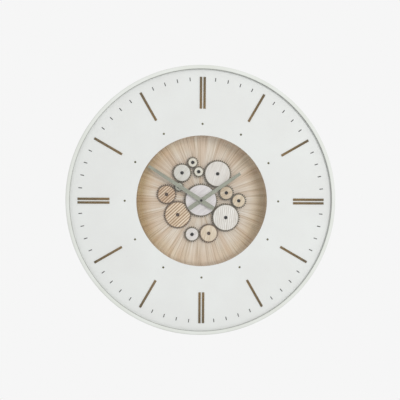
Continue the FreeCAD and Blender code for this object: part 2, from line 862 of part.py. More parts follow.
# Movement
def make_box(label, front, holes):
    """A moulded box with a closed back, a cavity open to the front and a cell bay right through."""
    body = new_body(label + "_blank")
    back = "%s + box_depth" % front
    outer = new_sketch(body, label + "_outline", "XZ_Plane", back)
    add_outline(outer, rounded("box_width / 2", "box_round"))
    pad(body, outer, "box_depth - box_cover", label + "_pad")
    bay = new_sketch(body, label + "_bay", "XZ_Plane", "%s - overrun" % front)
    add_outline(bay, rectangle("-(bay_half_length)", "bay_low", "bay_half_length", "bay_high"))
    pocket(body, bay, "box_depth + overrun * 2", label + "_bay_pocket")
    cavity = new_sketch(body, label + "_cavity", "XZ_Plane", "%s - overrun" % front)
    add_outline(cavity, rectangle("-cavity_half", "cavity_low", "cavity_half", "cavity_half"))
    pocket(body, cavity, "box_depth - box_wall + overrun", label + "_cavity_pocket")
    return cut(label, body, holes)


def make_cover(label, front, bore):
    """The flat front of a box, with its hole cut by the tool that it is given."""
    body = new_body(label + "_blank")
    sketch = new_sketch(body, label + "_outline", "XZ_Plane", "%s + box_cover" % front)
    add_outline(sketch, rounded("box_width / 2", "box_round"))
    pad(body, sketch, "box_cover", label + "_pad")
    return cut(label, body, bore)


def make_works():
    """Bush, nut, washer, clip, hour tube and minute shaft, all on the dial axis."""
    keep("threaded_bush", turned("threaded_bush", [
        ("bush_bore", "bush_front"),
        ("bush_radius", "bush_front"),
        ("bush_radius", "cover_back"),
        ("bush_flange_radius", "cover_back"),
        ("bush_flange_radius", "bush_flange_back"),
        ("bush_bore", "bush_flange_back"),
    ]))
    keep("bush_washer", ring("bush_washer", "bush_radius", "bush_washer_radius", "floor_back", "box_front"))
    prism = doc.addObject("Part::Prism", "nut_prism")
    prism.Polygon = 6
    prism.setExpression("Circumradius", bind("bush_nut_radius * 2 / sqrt(3)"))
    prism.setExpression("Height", bind("floor - high_wheel_back - side_gap"))
    prism.Placement = Placement(Vector(), Rotation(Vector(1, 0, 0), -90))
    prism.setExpression("Placement.Base.y", bind("high_wheel_back + side_gap"))
    hole = cylinder("nut_hole", "bush_radius", "high_wheel_back - overrun", "floor + overrun")
    keep("bush_nut", cut("bush_nut", prism, hole))
    keep("bush_clip", ring("bush_clip", "bush_radius", "clip_radius",
                           "high_face_front - side_gap - clip_thickness", "high_face_front - side_gap"))
    keep("hour_tube", turned("hour_tube", [
        ("tube_bore", "hour_front"),
        ("tube_radius", "hour_front"),
        ("tube_radius", "tube_flange_front"),
        ("tube_flange_radius", "tube_flange_front"),
        ("tube_flange_radius", "tube_flange_back"),
        ("tube_bore", "tube_flange_back"),
    ]))
    shaft = cylinder("shaft_rod", "shaft_radius", "shaft_front", "setting_back + flange_spacing")
    wheel = toothed_wheel("setting_wheel", SETTING_WHEEL_TEETH, "setting_module", "setting_backlash", None,
                          "setting_wheel_thickness")
    wheel.Placement = Placement(Vector(0, value("setting_back"), 0), Rotation())
    keep("minute_shaft", fuse("minute_shaft", [shaft, wheel]))


def make_knob():
    """The setting knob on the back of the movement, with its pinion in mesh with the minute shaft."""
    direction = value("setting_direction")
    distance = value("setting_distance")
    across = distance * math.cos(math.radians(direction))
    up = distance * math.sin(math.radians(direction))
    stem = turned("knob_turned", [
        ("0", "setting_back - overrun"),
        ("knob_stem_radius", "setting_back - overrun"),
        ("knob_stem_radius", "box_back + side_gap"),
        ("knob_radius", "box_back + side_gap"),
        ("knob_radius", "box_back + side_gap + knob_height"),
        ("0", "box_back + side_gap + knob_height"),
    ])
    pinion = toothed_wheel("setting_pinion", SETTING_PINION_TEETH, "setting_module", "setting_backlash", None,
                           "setting_wheel_thickness")
    phase = mesh_phase(SETTING_WHEEL_TEETH, 0, SETTING_PINION_TEETH, direction)
    pinion.Placement = Placement(Vector(0, value("setting_back"), 0), Rotation(Vector(0, 1, 0), -phase))
    whole = fuse("knob_whole", [stem, pinion])
    grip = cylinder("knob_grip", "knob_grip_radius", "box_back - overrun",
                    "box_back + side_gap + knob_height + overrun")
    edge = value("knob_radius")
    grips = group("knob_grips", grip, [clockwise(360 * index / KNOB_GRIPS).multiply(at(edge, 0))
                                       for index in range(KNOB_GRIPS)])
    knob = cut("knob_cut", whole, grips)
    keep("setting_knob", group("setting_knob", knob, [at(across, up)]))
    hole = cylinder("knob_hole_tool", "knob_stem_radius + running_gap", "box_inside - overrun",
                    "box_back + overrun")
    return group("knob_hole", hole, [at(across, up)])


def make_cells(drive_place):
    """The AA cells of the movement and of the drive unit, lying across their bays."""
    body = new_body("cell_turned")
    sketch = new_sketch(body, "cell_profile", "XY_Plane")
    add_outline(sketch, [
        ("-cell_length / 2", "0"),
        ("cell_length / 2", "0"),
        ("cell_length / 2", "cell_nub_radius"),
        ("cell_length / 2 - cell_nub_length", "cell_nub_radius"),
        ("cell_length / 2 - cell_nub_length", "cell_radius"),
        ("-cell_length / 2", "cell_radius"),
    ])
    revolution = body.newObject("PartDesign::Revolution", "cell_turn")
    revolution.Profile = sketch
    revolution.ReferenceAxis = (sketch, ["H_Axis"])
    revolution.Angle = 360.0
    height = value("cover_back + cell_gap / 4 + cell_radius")
    drop = value("bay_middle")
    across, up = drive_place
    places = [Placement(Vector(0, height, drop), Rotation()),
              Placement(Vector(across, height - value("washer_thickness"), up + drop), Rotation())]
    keep("aa_cells", group("aa_cells", body, places))


def make_switch():
    """The slide switch in the back of the drive unit, at the start of its travel."""
    travel = "switch_travel / 2"
    back = "box_back - washer_thickness"
    body = new_body("switch_blank")
    nub = new_sketch(body, "switch_nub", "XZ_Plane", "%s + switch_height" % back)
    half = "switch_length / 2"
    low = "switch_offset - switch_width / 2"
    high = "switch_offset + switch_width / 2"
    add_outline(nub, rectangle("-%s - %s" % (travel, half), low, "-%s + %s" % (travel, half), high))
    pad(body, nub, "switch_height + box_wall + switch_gap", "switch_nub_pad")
    flange = new_sketch(body, "switch_flange_outline", "XZ_Plane", "%s - box_wall - switch_gap" % back)
    add_outline(flange, rectangle("-%s - %s - switch_flange" % (travel, half), low + " - switch_flange",
                                  "-%s + %s + switch_flange" % (travel, half), high + " + switch_flange"))
    pad(body, flange, "switch_flange", "switch_flange_pad")
    slot = new_body("switch_slot")
    outline = new_sketch(slot, "switch_slot_outline", "XZ_Plane", "%s + overrun" % back)
    add_outline(outline, rectangle("-%s - %s - switch_gap" % (travel, half), low + " - switch_gap",
                                   "%s + %s + switch_gap" % (travel, half), high + " + switch_gap"))
    pad(slot, outline, "box_wall + overrun * 2", "switch_slot_pad")
    return body, slot


def make_movement():
    make_works()
    knob_hole = make_knob()
    keep("movement_case", make_box("movement_case", "box_front", knob_hole))
    cover_bore = cylinder("cover_bore", "bush_radius", "box_front - overrun", "cover_back + overrun")
    movement_cover = make_cover("movement_cover", "box_front", cover_bore)
    arbor_across, up, _ = GEAR_PLACES[DRIVEN_GEAR]
    across = value("drive_across")
    switch, slot = make_switch()
    keep("slide_switch", group("slide_switch", switch, [at(across, up)]))
    drive = make_box("drive_box", "floor_back", slot)
    keep("drive_case", group("drive_case", drive, [at(across, up)]))
    arbor_bore = cylinder("arbor_bore", "pin_radius + arbor_gap", "floor_back - overrun",
                          "floor_back + box_cover + overrun")
    shifted_bore = group("shifted_arbor_bore", arbor_bore, [at(arbor_across - across, 0)])
    cover = make_cover("drive_box_cover", "floor_back", shifted_bore)
    covers = doc.addObject("Part::Compound", "box_covers")
    covers.Links = [movement_cover, group("drive_cover", cover, [at(across, up)])]
    keep("box_covers", covers)
    make_cells((across, up))


make_case()
make_dial_stack()
make_dial_marks()
screws_in_dish = make_back()
make_hanger()
for gear in GEAR_TEETH:
    make_gear(gear)
make_dish(make_pins(), screws_in_dish)
make_drive_arbor()
make_hands()
make_movement()

doc.recompute()
for item in doc.Objects:
    if "Invalid" in item.State or "Error" in item.State:
        raise RuntimeError("failed object: %s" % item.Label)
for label, item in subparts.items():
    if item.Shape.isNull() or not item.Shape.isValid() or not item.Shape.Solids:
        raise RuntimeError("bad shape: %s" % label)

os.makedirs("parts", exist_ok=True)
for label, item in subparts.items():
    item.Shape.exportStep("parts/%s.step" % label)
print("%d sub-parts written" % len(subparts))
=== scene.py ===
import json
import math

import bmesh
import bpy
from mathutils import Matrix, Vector


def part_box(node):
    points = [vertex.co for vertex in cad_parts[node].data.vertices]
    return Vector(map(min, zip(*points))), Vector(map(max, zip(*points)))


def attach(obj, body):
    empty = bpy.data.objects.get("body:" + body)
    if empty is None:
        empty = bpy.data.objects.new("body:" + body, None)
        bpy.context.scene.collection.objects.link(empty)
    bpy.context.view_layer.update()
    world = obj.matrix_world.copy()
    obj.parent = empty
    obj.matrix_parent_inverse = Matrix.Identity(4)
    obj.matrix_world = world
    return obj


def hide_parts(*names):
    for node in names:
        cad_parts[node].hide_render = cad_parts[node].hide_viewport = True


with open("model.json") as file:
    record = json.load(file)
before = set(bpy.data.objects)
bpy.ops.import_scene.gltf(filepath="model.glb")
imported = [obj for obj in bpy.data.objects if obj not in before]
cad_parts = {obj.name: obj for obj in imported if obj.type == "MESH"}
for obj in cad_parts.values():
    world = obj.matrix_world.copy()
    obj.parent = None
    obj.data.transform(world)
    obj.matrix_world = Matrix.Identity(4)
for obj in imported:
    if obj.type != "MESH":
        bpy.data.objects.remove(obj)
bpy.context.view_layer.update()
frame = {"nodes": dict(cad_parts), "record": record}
scene = bpy.context.scene
mm = 0.001
faceOn = Matrix.Rotation(math.radians(90), 4, "X")  # dial plane drawn as x right, y up, z to the viewer
jointPlaces = {item["name"]: item.get("pos_m", (0, 0, 0)) for item in frame["record"]["behaviour"]["joints"]}
print("frame loaded:", len(frame["nodes"]), "nodes")


def colour(hexCode):
    channels = [int(hexCode[start:start + 2], 16) / 255 for start in (1, 3, 5)]
    return [part / 12.92 if part <= 0.04045 else ((part + 0.055) / 1.055) ** 2.4 for part in channels] + [1.0]


def addNode(tree, kind, settings=None, links=None):
    node = tree.nodes.new(kind)
    for key, value in (settings or {}).items():
        if isinstance(key, str) and key[0].islower():
            setattr(node, key, value)  # lower-case keys are the node's own options
        else:
            node.inputs[key].default_value = value
    for key, source in (links or {}).items():
        if isinstance(source, bpy.types.Node):
            source = source.outputs[0]
        if isinstance(source, bpy.types.NodeSocket):
            tree.links.new(source, node.inputs[key])
        else:
            node.inputs[key].default_value = source
    return node


def heights(node):
    # how far a node's front and back stand towards the viewer, in millimetres
    low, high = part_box(node)
    return round(-low[1] / mm, 3), round(-high[1] / mm, 3)


def newMaterial(name):
    material = bpy.data.materials.new(name)
    material.use_nodes = True
    material.node_tree.nodes.clear()
    return material, material.node_tree


def toneRamp(tree, factor, stops):
    # tones over a factor from 0 to 1, each stop with its place
    node = addNode(tree, "ShaderNodeValToRGB", None, {"Fac": factor})
    ramp = node.color_ramp
    while len(ramp.elements) < len(stops):
        ramp.elements.new(0.5)
    for element, (place, tone) in zip(ramp.elements, stops):
        element.position = place
        element.color = colour(tone)
    return node


def multiplied(tree, tone, layer, share=1.0):
    return addNode(tree, "ShaderNodeMix", {"data_type": "RGBA", "blend_type": "MULTIPLY", 0: share},
                   {6: tone, 7: layer}).outputs[2]


bumpStrength = 0.4  # how much of each relief's height is felt


def closeMaterial(tree, tone, settings, relief=None, bumpHeight=0.0):
    links = {"Base Color": tone}
    if relief:
        links["Normal"] = addNode(tree, "ShaderNodeBump", {"Strength": bumpStrength, "Distance": bumpHeight},
                                  {"Height": relief})
    surface = addNode(tree, "ShaderNodeBsdfPrincipled", settings, links)
    addNode(tree, "ShaderNodeOutputMaterial", None, {"Surface": surface})


def grainPlace(tree, centre, angle, spacing, length):
    # places counted across and along a grain that lies in the dial plane, at an angle up from 3 o'clock
    place = addNode(tree, "ShaderNodeTexCoord")
    return addNode(tree, "ShaderNodeMapping", {
        "vector_type": "TEXTURE", "Location": (centre[0], 0, centre[1]),
        "Rotation": (0, -math.radians(angle), 0), "Scale": (length * mm, spacing * mm, spacing * mm)},
        {"Vector": place.outputs["Object"]})


def grainNoise(tree, centre, angle, spacing, length, detail, distortion):
    # noise drawn out along the grain, with the spacing and length of its streaks in millimetres
    return addNode(tree, "ShaderNodeTexNoise", {
        "Scale": 1.0, "Detail": detail, "Roughness": 0.6, "Distortion": distortion},
        {"Vector": grainPlace(tree, centre, angle, spacing, length)})


def spokeNoise(tree, linesRound, streakMm, detail, rough):
    # noise whose lines run out from the dial's axis like the rays of a sunburst
    place = addNode(tree, "ShaderNodeTexCoord")
    flat = addNode(tree, "ShaderNodeVectorMath", {"operation": "MULTIPLY", 1: (1, 0, 1)},
                   {0: place.outputs["Object"]})
    ray = addNode(tree, "ShaderNodeVectorMath", {"operation": "NORMALIZE"}, {0: flat})
    spread = addNode(tree, "ShaderNodeVectorMath", {"operation": "SCALE", "Scale": linesRound / math.tau},
                     {0: ray})
    reach = addNode(tree, "ShaderNodeVectorMath", {"operation": "LENGTH"}, {0: place.outputs["Object"]})
    slow = addNode(tree, "ShaderNodeMath", {"operation": "DIVIDE", 1: streakMm * mm},
                   {0: reach.outputs["Value"]})
    return addNode(tree, "ShaderNodeTexNoise", {
        "noise_dimensions": "4D", "Scale": 1.0, "Detail": detail, "Roughness": rough},
        {"Vector": spread, "W": slow})


def mottled(name, toneA, toneB, sizeMm, roughness, bumpHeight=0.0, metallic=0.0, extra=None, detail=3.0):
    # a plain finish with a soft change of tone and a fine relief of the same size
    material, tree = newMaterial(name)
    place = addNode(tree, "ShaderNodeTexCoord")
    cloud = addNode(tree, "ShaderNodeTexNoise", {"Scale": 1000 / sizeMm, "Detail": detail},
                    {"Vector": place.outputs["Object"]})
    ramp = toneRamp(tree, cloud, [(0.35, toneA), (0.65, toneB)])
    closeMaterial(tree, ramp, {"Roughness": roughness, "Metallic": metallic, **(extra or {})},
                  cloud if bumpHeight else None, bumpHeight)
    return material


# baked enamel on steel: satin, with a faint orange peel
creamEnamelSteel = mottled("creamEnamelSteel", "#E6E9E4", "#E0E3DC", 60, 0.34, 0.00008,
                           extra={"Coat Weight": 0.25, "Coat Roughness": 0.2})
# sprayed lacquer, even and matt, and screen-printed ink, slightly uneven
whiteLacquerBoard = mottled("whiteLacquerBoard", "#EBECEB", "#E8E8E7", 90, 0.55, 0.00004)
darkDialInk = mottled("darkDialInk", "#131310", "#1E1E1A", 1.6, 0.6)
# an extruded rubber strip, dull, and closed-cell foam, finely pitted
greyRubberSeal = mottled("greyRubberSeal", "#B3B5B0", "#A8ABA5", 3, 0.75, 0.0001)
whiteFoamSeal = mottled("whiteFoamSeal", "#DADBD8", "#D2D3CF", 2, 0.8, 0.0001)
nitrileRubber = mottled("nitrileRubber", "#101010", "#1A1A1A", 1.5, 0.7, 0.0001)  # moulded, dull black
# turned plastics: almost no gloss, faint tool marks
blackAcetal = mottled("blackAcetal", "#080808", "#0F0F0F", 1.2, 0.55, 0.00004,
                      extra={"Specular IOR Level": 0.1})
brownAcetal = mottled("brownAcetal", "#3B2A1E", "#4C3727", 1.2, 0.5, 0.00004,
                      extra={"Specular IOR Level": 0.3})
# moulded plastics: a fine spark-eroded grain, and white that has slightly yellowed
blackAbs = mottled("blackAbs", "#1D1E20", "#242527", 0.7, 0.52, 0.00006)
whiteAbs = mottled("whiteAbs", "#D9D8D2", "#E0DFDA", 0.9, 0.45, 0.00004)
# metals: bluish, cloudy zinc, bright steel with fine marks, warm and lightly dulled brass
zincPlate = mottled("zincPlate", "#A9ACAE", "#C2C4C4", 2.5, 0.34, 0.00003, metallic=1.0)
turnedSteel = mottled("turnedSteel", "#77787A", "#8D8E90", 1.5, 0.3, 0.00003, metallic=1.0)
turnedBrass = mottled("turnedBrass", "#B08D4A", "#C6A45E", 2.0, 0.28, 0.00003, metallic=1.0)
sageEnamel = mottled("sageEnamel", "#9C9F90", "#8F9183", 26, 0.62, 0.00005)  # matt paint over stamped brass
# sawn board, speckled, and the same with a textured black foil
rawFibreboard = mottled("rawFibreboard", "#A98C66", "#8E7352", 2.2, 0.85, 0.0002, detail=6)
blackFacedBoard = mottled("blackFacedBoard", "#17171A", "#232325", 1.4, 0.68, 0.00012, detail=5)


def makeGlass():
    # float glass: clear to lamps so that the dial keeps the plain light
    material, tree = newMaterial("floatGlass")
    pane = addNode(tree, "ShaderNodeBsdfPrincipled", {
        "Base Color": (0.995, 1, 0.995, 1), "Roughness": 0.0, "IOR": 1.45, "Transmission Weight": 1.0})
    clear = addNode(tree, "ShaderNodeBsdfTransparent", {"Color": (0.985, 0.99, 0.985, 1)})
    path = addNode(tree, "ShaderNodeLightPath")
    passing = addNode(tree, "ShaderNodeMath", {"operation": "MAXIMUM"},
                      {0: path.outputs["Is Shadow Ray"], 1: path.outputs["Is Diffuse Ray"]})
    both = addNode(tree, "ShaderNodeMixShader", None, {"Fac": passing, 1: pane, 2: clear})
    addNode(tree, "ShaderNodeOutputMaterial", None, {"Surface": both})
    return material


veneerLook = {
    # layers of rays: lines round the dish, length of a streak in mm, detail, roughness, tones, share
    "layers": (
        (1100, 50, 2.0, 0.60, [(0.34, "#DAD0C4"), (0.50, "#EAE0D5"), (0.66, "#EFE7DE")], 1.0),  # fine grain
        (330, 90, 2.0, 0.55, [(0.34, "#DCD0BE"), (0.50, "#F8F4EE"), (0.64, "#FFFFFF")], 1.0),  # streaks
        (46, 160, 1.0, 0.50, [(0.36, "#F3E9DF"), (0.62, "#FFFFFF")], 1.0),  # broad leaves
        (120, 120, 1.0, 0.50, [(0.66, "#FFFFFF"), (0.73, "#A58C6C")], 0.6)),  # a few dark pores
    # the wall's brown, part veneer tone and part painted shade: where it starts and is full, its tones and
    # its weights by side
    "feltLayer": 1, "wallFrom": 0.114, "wallTo": 0.140,
    "wallBrownShadeTones": [(0.0, "#FFFFFF"), (0.5, "#F3ECDE"), (1.0, "#CBBA92")],
    "brownShadeSideways": 0.9, "brownShadeRightward": -0.12, "brownShadeAround": 0.04}


def makeSunburstVeneer():
    # pale veneer laid as a sunburst, deeper brown up the wall: partly the veneer's own tone, partly painted
    # shade in the recess
    # its fine grain, 0.8 mm apart at the dial's edge, is coarser than real grain so that it shows
    material, tree = newMaterial("sunburstVeneer")
    noises, layers = [], []
    for linesRound, streakMm, detail, rough, stops, share in veneerLook["layers"]:
        noises.append(spokeNoise(tree, linesRound, streakMm, detail, rough))
        layers.append((toneRamp(tree, noises[-1], stops), share))
    place = addNode(tree, "ShaderNodeTexCoord")
    flat = addNode(tree, "ShaderNodeVectorMath", {"operation": "MULTIPLY", 1: (1, 0, 1)},
                   {0: place.outputs["Object"]})
    reach = addNode(tree, "ShaderNodeVectorMath", {"operation": "LENGTH"}, {0: flat})
    wall = addNode(tree, "ShaderNodeMapRange", {
        "From Min": veneerLook["wallFrom"], "From Max": veneerLook["wallTo"]},
        {"Value": reach.outputs["Value"]})
    # painted shade: the wall's brown is strongest on the left and right, a little more on the left, and faint
    # at the top and bottom
    ray = addNode(tree, "ShaderNodeVectorMath", {"operation": "NORMALIZE"}, {0: flat})
    across = addNode(tree, "ShaderNodeSeparateXYZ", None, {0: ray}).outputs["X"]
    sideways = addNode(tree, "ShaderNodeMath", {"operation": "ABSOLUTE"}, {0: across})
    leftBrownShade = addNode(tree, "ShaderNodeMath", {
        "operation": "MULTIPLY_ADD", 1: veneerLook["brownShadeRightward"], 2: veneerLook["brownShadeAround"]},
        {0: across})
    brownShadeWeight = addNode(tree, "ShaderNodeMath", {
        "operation": "MULTIPLY_ADD", 1: veneerLook["brownShadeSideways"]}, {0: sideways, 2: leftBrownShade})
    brownShadeShare = addNode(tree, "ShaderNodeMath", {"operation": "MULTIPLY"}, {0: wall, 1: brownShadeWeight})
    layers.append((toneRamp(tree, brownShadeShare, veneerLook["wallBrownShadeTones"]), 1.0))
    tone = layers[0][0]
    for layer, share in layers[1:]:
        tone = multiplied(tree, tone, layer, share)
    closeMaterial(tree, tone, {"Roughness": 0.6}, noises[veneerLook["feltLayer"]], 0.00012)
    return material


bronzeLook = {"linesRound": 2600, "streakMm": 26, "lacquerFrom": 0.222, "lacquerTo": 0.281}


def makeBrushedBronze(name, base, dark, edge):
    # browned metal brushed out from the dial's axis, darker where the lacquer pools at the outer end
    # the strokes, 0.6 mm apart, are coarser than real ones so that they show
    material, tree = newMaterial(name)
    strokes = spokeNoise(tree, bronzeLook["linesRound"], bronzeLook["streakMm"], 2.0, 0.6)
    place = addNode(tree, "ShaderNodeTexCoord")
    reach = addNode(tree, "ShaderNodeVectorMath", {"operation": "LENGTH"}, {0: place.outputs["Object"]})
    outer = addNode(tree, "ShaderNodeMapRange", {
        "From Min": bronzeLook["lacquerFrom"], "From Max": bronzeLook["lacquerTo"]},
        {"Value": reach.outputs["Value"]})
    ramp = toneRamp(tree, strokes, [(0.32, dark), (0.66, base)])
    tone = addNode(tree, "ShaderNodeMix", {"data_type": "RGBA", 7: colour(edge)},
                   {0: outer, 6: ramp}).outputs[2]
    closeMaterial(tree, tone, {"Metallic": 0.35, "Roughness": 0.5}, strokes, 0.00006)
    return material


floatGlass = makeGlass()
sunburstVeneer = makeSunburstVeneer()
brushedBronze = makeBrushedBronze("brushedBronze", "#896A30", "#6A5123", "#604B1D")
oliveBronze = makeBrushedBronze("oliveBronze", "#5E5A1A", "#444210", "#444210")


# the bands lie a few degrees off the streaks, and their size counts in the streaks' spacing
bandLook = {"turn": 3, "spacing": 4.5, "length": 40, "waves": 0.6, "share": 0.7}


def gearVeneer(name, centre, look):
    # sliced veneer: long streaks along the grain over wider bands, with growth rings where they show
    material, tree = newMaterial(name)
    angle, spacing, waves = look["angle"], look["spacing"], look["waves"]
    streaks = grainNoise(tree, centre, angle, spacing, spacing * look["stretch"], 4.0, waves)
    bands = grainNoise(tree, centre, angle + bandLook["turn"], spacing * bandLook["spacing"],
                       spacing * bandLook["length"], 2.0, waves * bandLook["waves"])
    ramp = toneRamp(tree, streaks, [(0.34, look["dark"]), (0.50, look["middle"]), (0.66, look["light"])])
    bandTone = toneRamp(tree, bands, [(0.36, look["shade"]), (0.62, "#FFFFFF")])
    tone = multiplied(tree, ramp, bandTone, bandLook["share"])
    if "rings" in look:
        # one dark line in every two ring sizes, nine times as long as wide before it bends
        turned = grainPlace(tree, centre, angle, look["rings"], look["rings"] * 9)
        lines = addNode(tree, "ShaderNodeTexWave", {
            "wave_type": "BANDS", "bands_direction": "Z", "Scale": 0.159, "Distortion": look["bend"],
            "Detail": 2.0, "Detail Scale": 0.8}, {"Vector": turned})
        tone = multiplied(tree, tone, toneRamp(tree, lines.outputs["Fac"], [
            (0.15, look["ringDark"]), (0.55, "#FFFFFF"), (0.9, "#FFFFFF")]))
    closeMaterial(tree, tone, {"Roughness": 0.66}, streaks, 0.0001)
    return material


boardGrain = {"angle": 80, "spacing": 0.8, "length": 9, "detail": 4.0, "distortion": 0.3}
scorchShadeFade = 0.6 * mm  # how softly the teeth's darker tone, the laser's brown with painted shade, runs out on each side of the teeth's roots


def wheelBoard(name, centre, rootRadius, look):
    # the wheels' own board: faint grain on its face, darker towards the teeth: partly the laser's brown from
    # cutting them, partly painted shade between the teeth
    material, tree = newMaterial(name)
    grain = grainNoise(tree, centre, **boardGrain)
    ramp = toneRamp(tree, grain, [(0.34, look["dark"]), (0.62, look["light"])])
    place = addNode(tree, "ShaderNodeTexCoord")
    centred = addNode(tree, "ShaderNodeVectorMath", {"operation": "SUBTRACT", 1: (centre[0], 0, centre[1])},
                      {0: place.outputs["Object"]})
    flat = addNode(tree, "ShaderNodeVectorMath", {"operation": "MULTIPLY", 1: (1, 0, 1)}, {0: centred})
    reach = addNode(tree, "ShaderNodeVectorMath", {"operation": "LENGTH"}, {0: flat})
    toothScorchShade = addNode(tree, "ShaderNodeMapRange", {
        "From Min": rootRadius - scorchShadeFade, "From Max": rootRadius + scorchShadeFade},
        {"Value": reach.outputs["Value"]})
    # the teeth take the darker tone: the laser's brown with painted shade between them
    tone = addNode(tree, "ShaderNodeMix", {"data_type": "RGBA", 7: colour(look["scorchShade"])},
                   {0: toothScorchShade, 6: ramp}).outputs[2]
    closeMaterial(tree, tone, {"Roughness": 0.75}, grain, 0.00012)
    return material


def charredEdge(name, char, dark):
    # laser-cut edge of a board: soot over brown, dull, in clouds of about 2.4 mm
    material, tree = newMaterial(name)
    smoke = addNode(tree, "ShaderNodeTexNoise", {"Scale": 420.0, "Detail": 3.0},
                    {"Vector": addNode(tree, "ShaderNodeTexCoord").outputs["Object"]})
    ramp = toneRamp(tree, smoke, [(0.35, char), (0.70, dark)])
    closeMaterial(tree, ramp, {"Roughness": 0.85}, smoke, 0.00015)
    return material


print("materials made:", len(bpy.data.materials))


def newTree(name, inputs):
    tree = bpy.data.node_groups.new(name, "GeometryNodeTree")
    tree.interface.new_socket("Geometry", in_out="INPUT", socket_type="NodeSocketGeometry")
    for label, kind, value in inputs:
        socket = tree.interface.new_socket(label, in_out="INPUT", socket_type="NodeSocket" + kind)
        if value is not None:
            socket.default_value = value
    tree.interface.new_socket("Geometry", in_out="OUTPUT", socket_type="NodeSocketGeometry")
    return tree, addNode(tree, "NodeGroupInput").outputs


def closeTree(tree, geometry, finish=None):
    if finish:
        geometry = addNode(tree, "GeometryNodeSetMaterial", None, {"Geometry": geometry, "Material": finish})
    addNode(tree, "NodeGroupOutput", None, {0: geometry})
    return tree


def buildLatheTree():
    # turns a profile, drawn as radius and height, about the dial's axis
    tree, given = newTree("turnedPiece", [("Steps", "Int", 180), ("Finish", "Material", None)])
    profile = addNode(tree, "GeometryNodeMeshToCurve", None, {"Mesh": given["Geometry"]})
    # a rail of nearly no radius turns the profile and leaves its radii as drawn; the poles are merged
    rail = addNode(tree, "GeometryNodeCurvePrimitiveCircle", {"Radius": 0.00001},
                   {"Resolution": given["Steps"]})
    swept = addNode(tree, "GeometryNodeCurveToMesh", None, {"Curve": rail, "Profile Curve": profile})
    joined = addNode(tree, "GeometryNodeMergeByDistance", {"Distance": 0.00003}, {"Geometry": swept})
    return closeTree(tree, joined, given["Finish"])


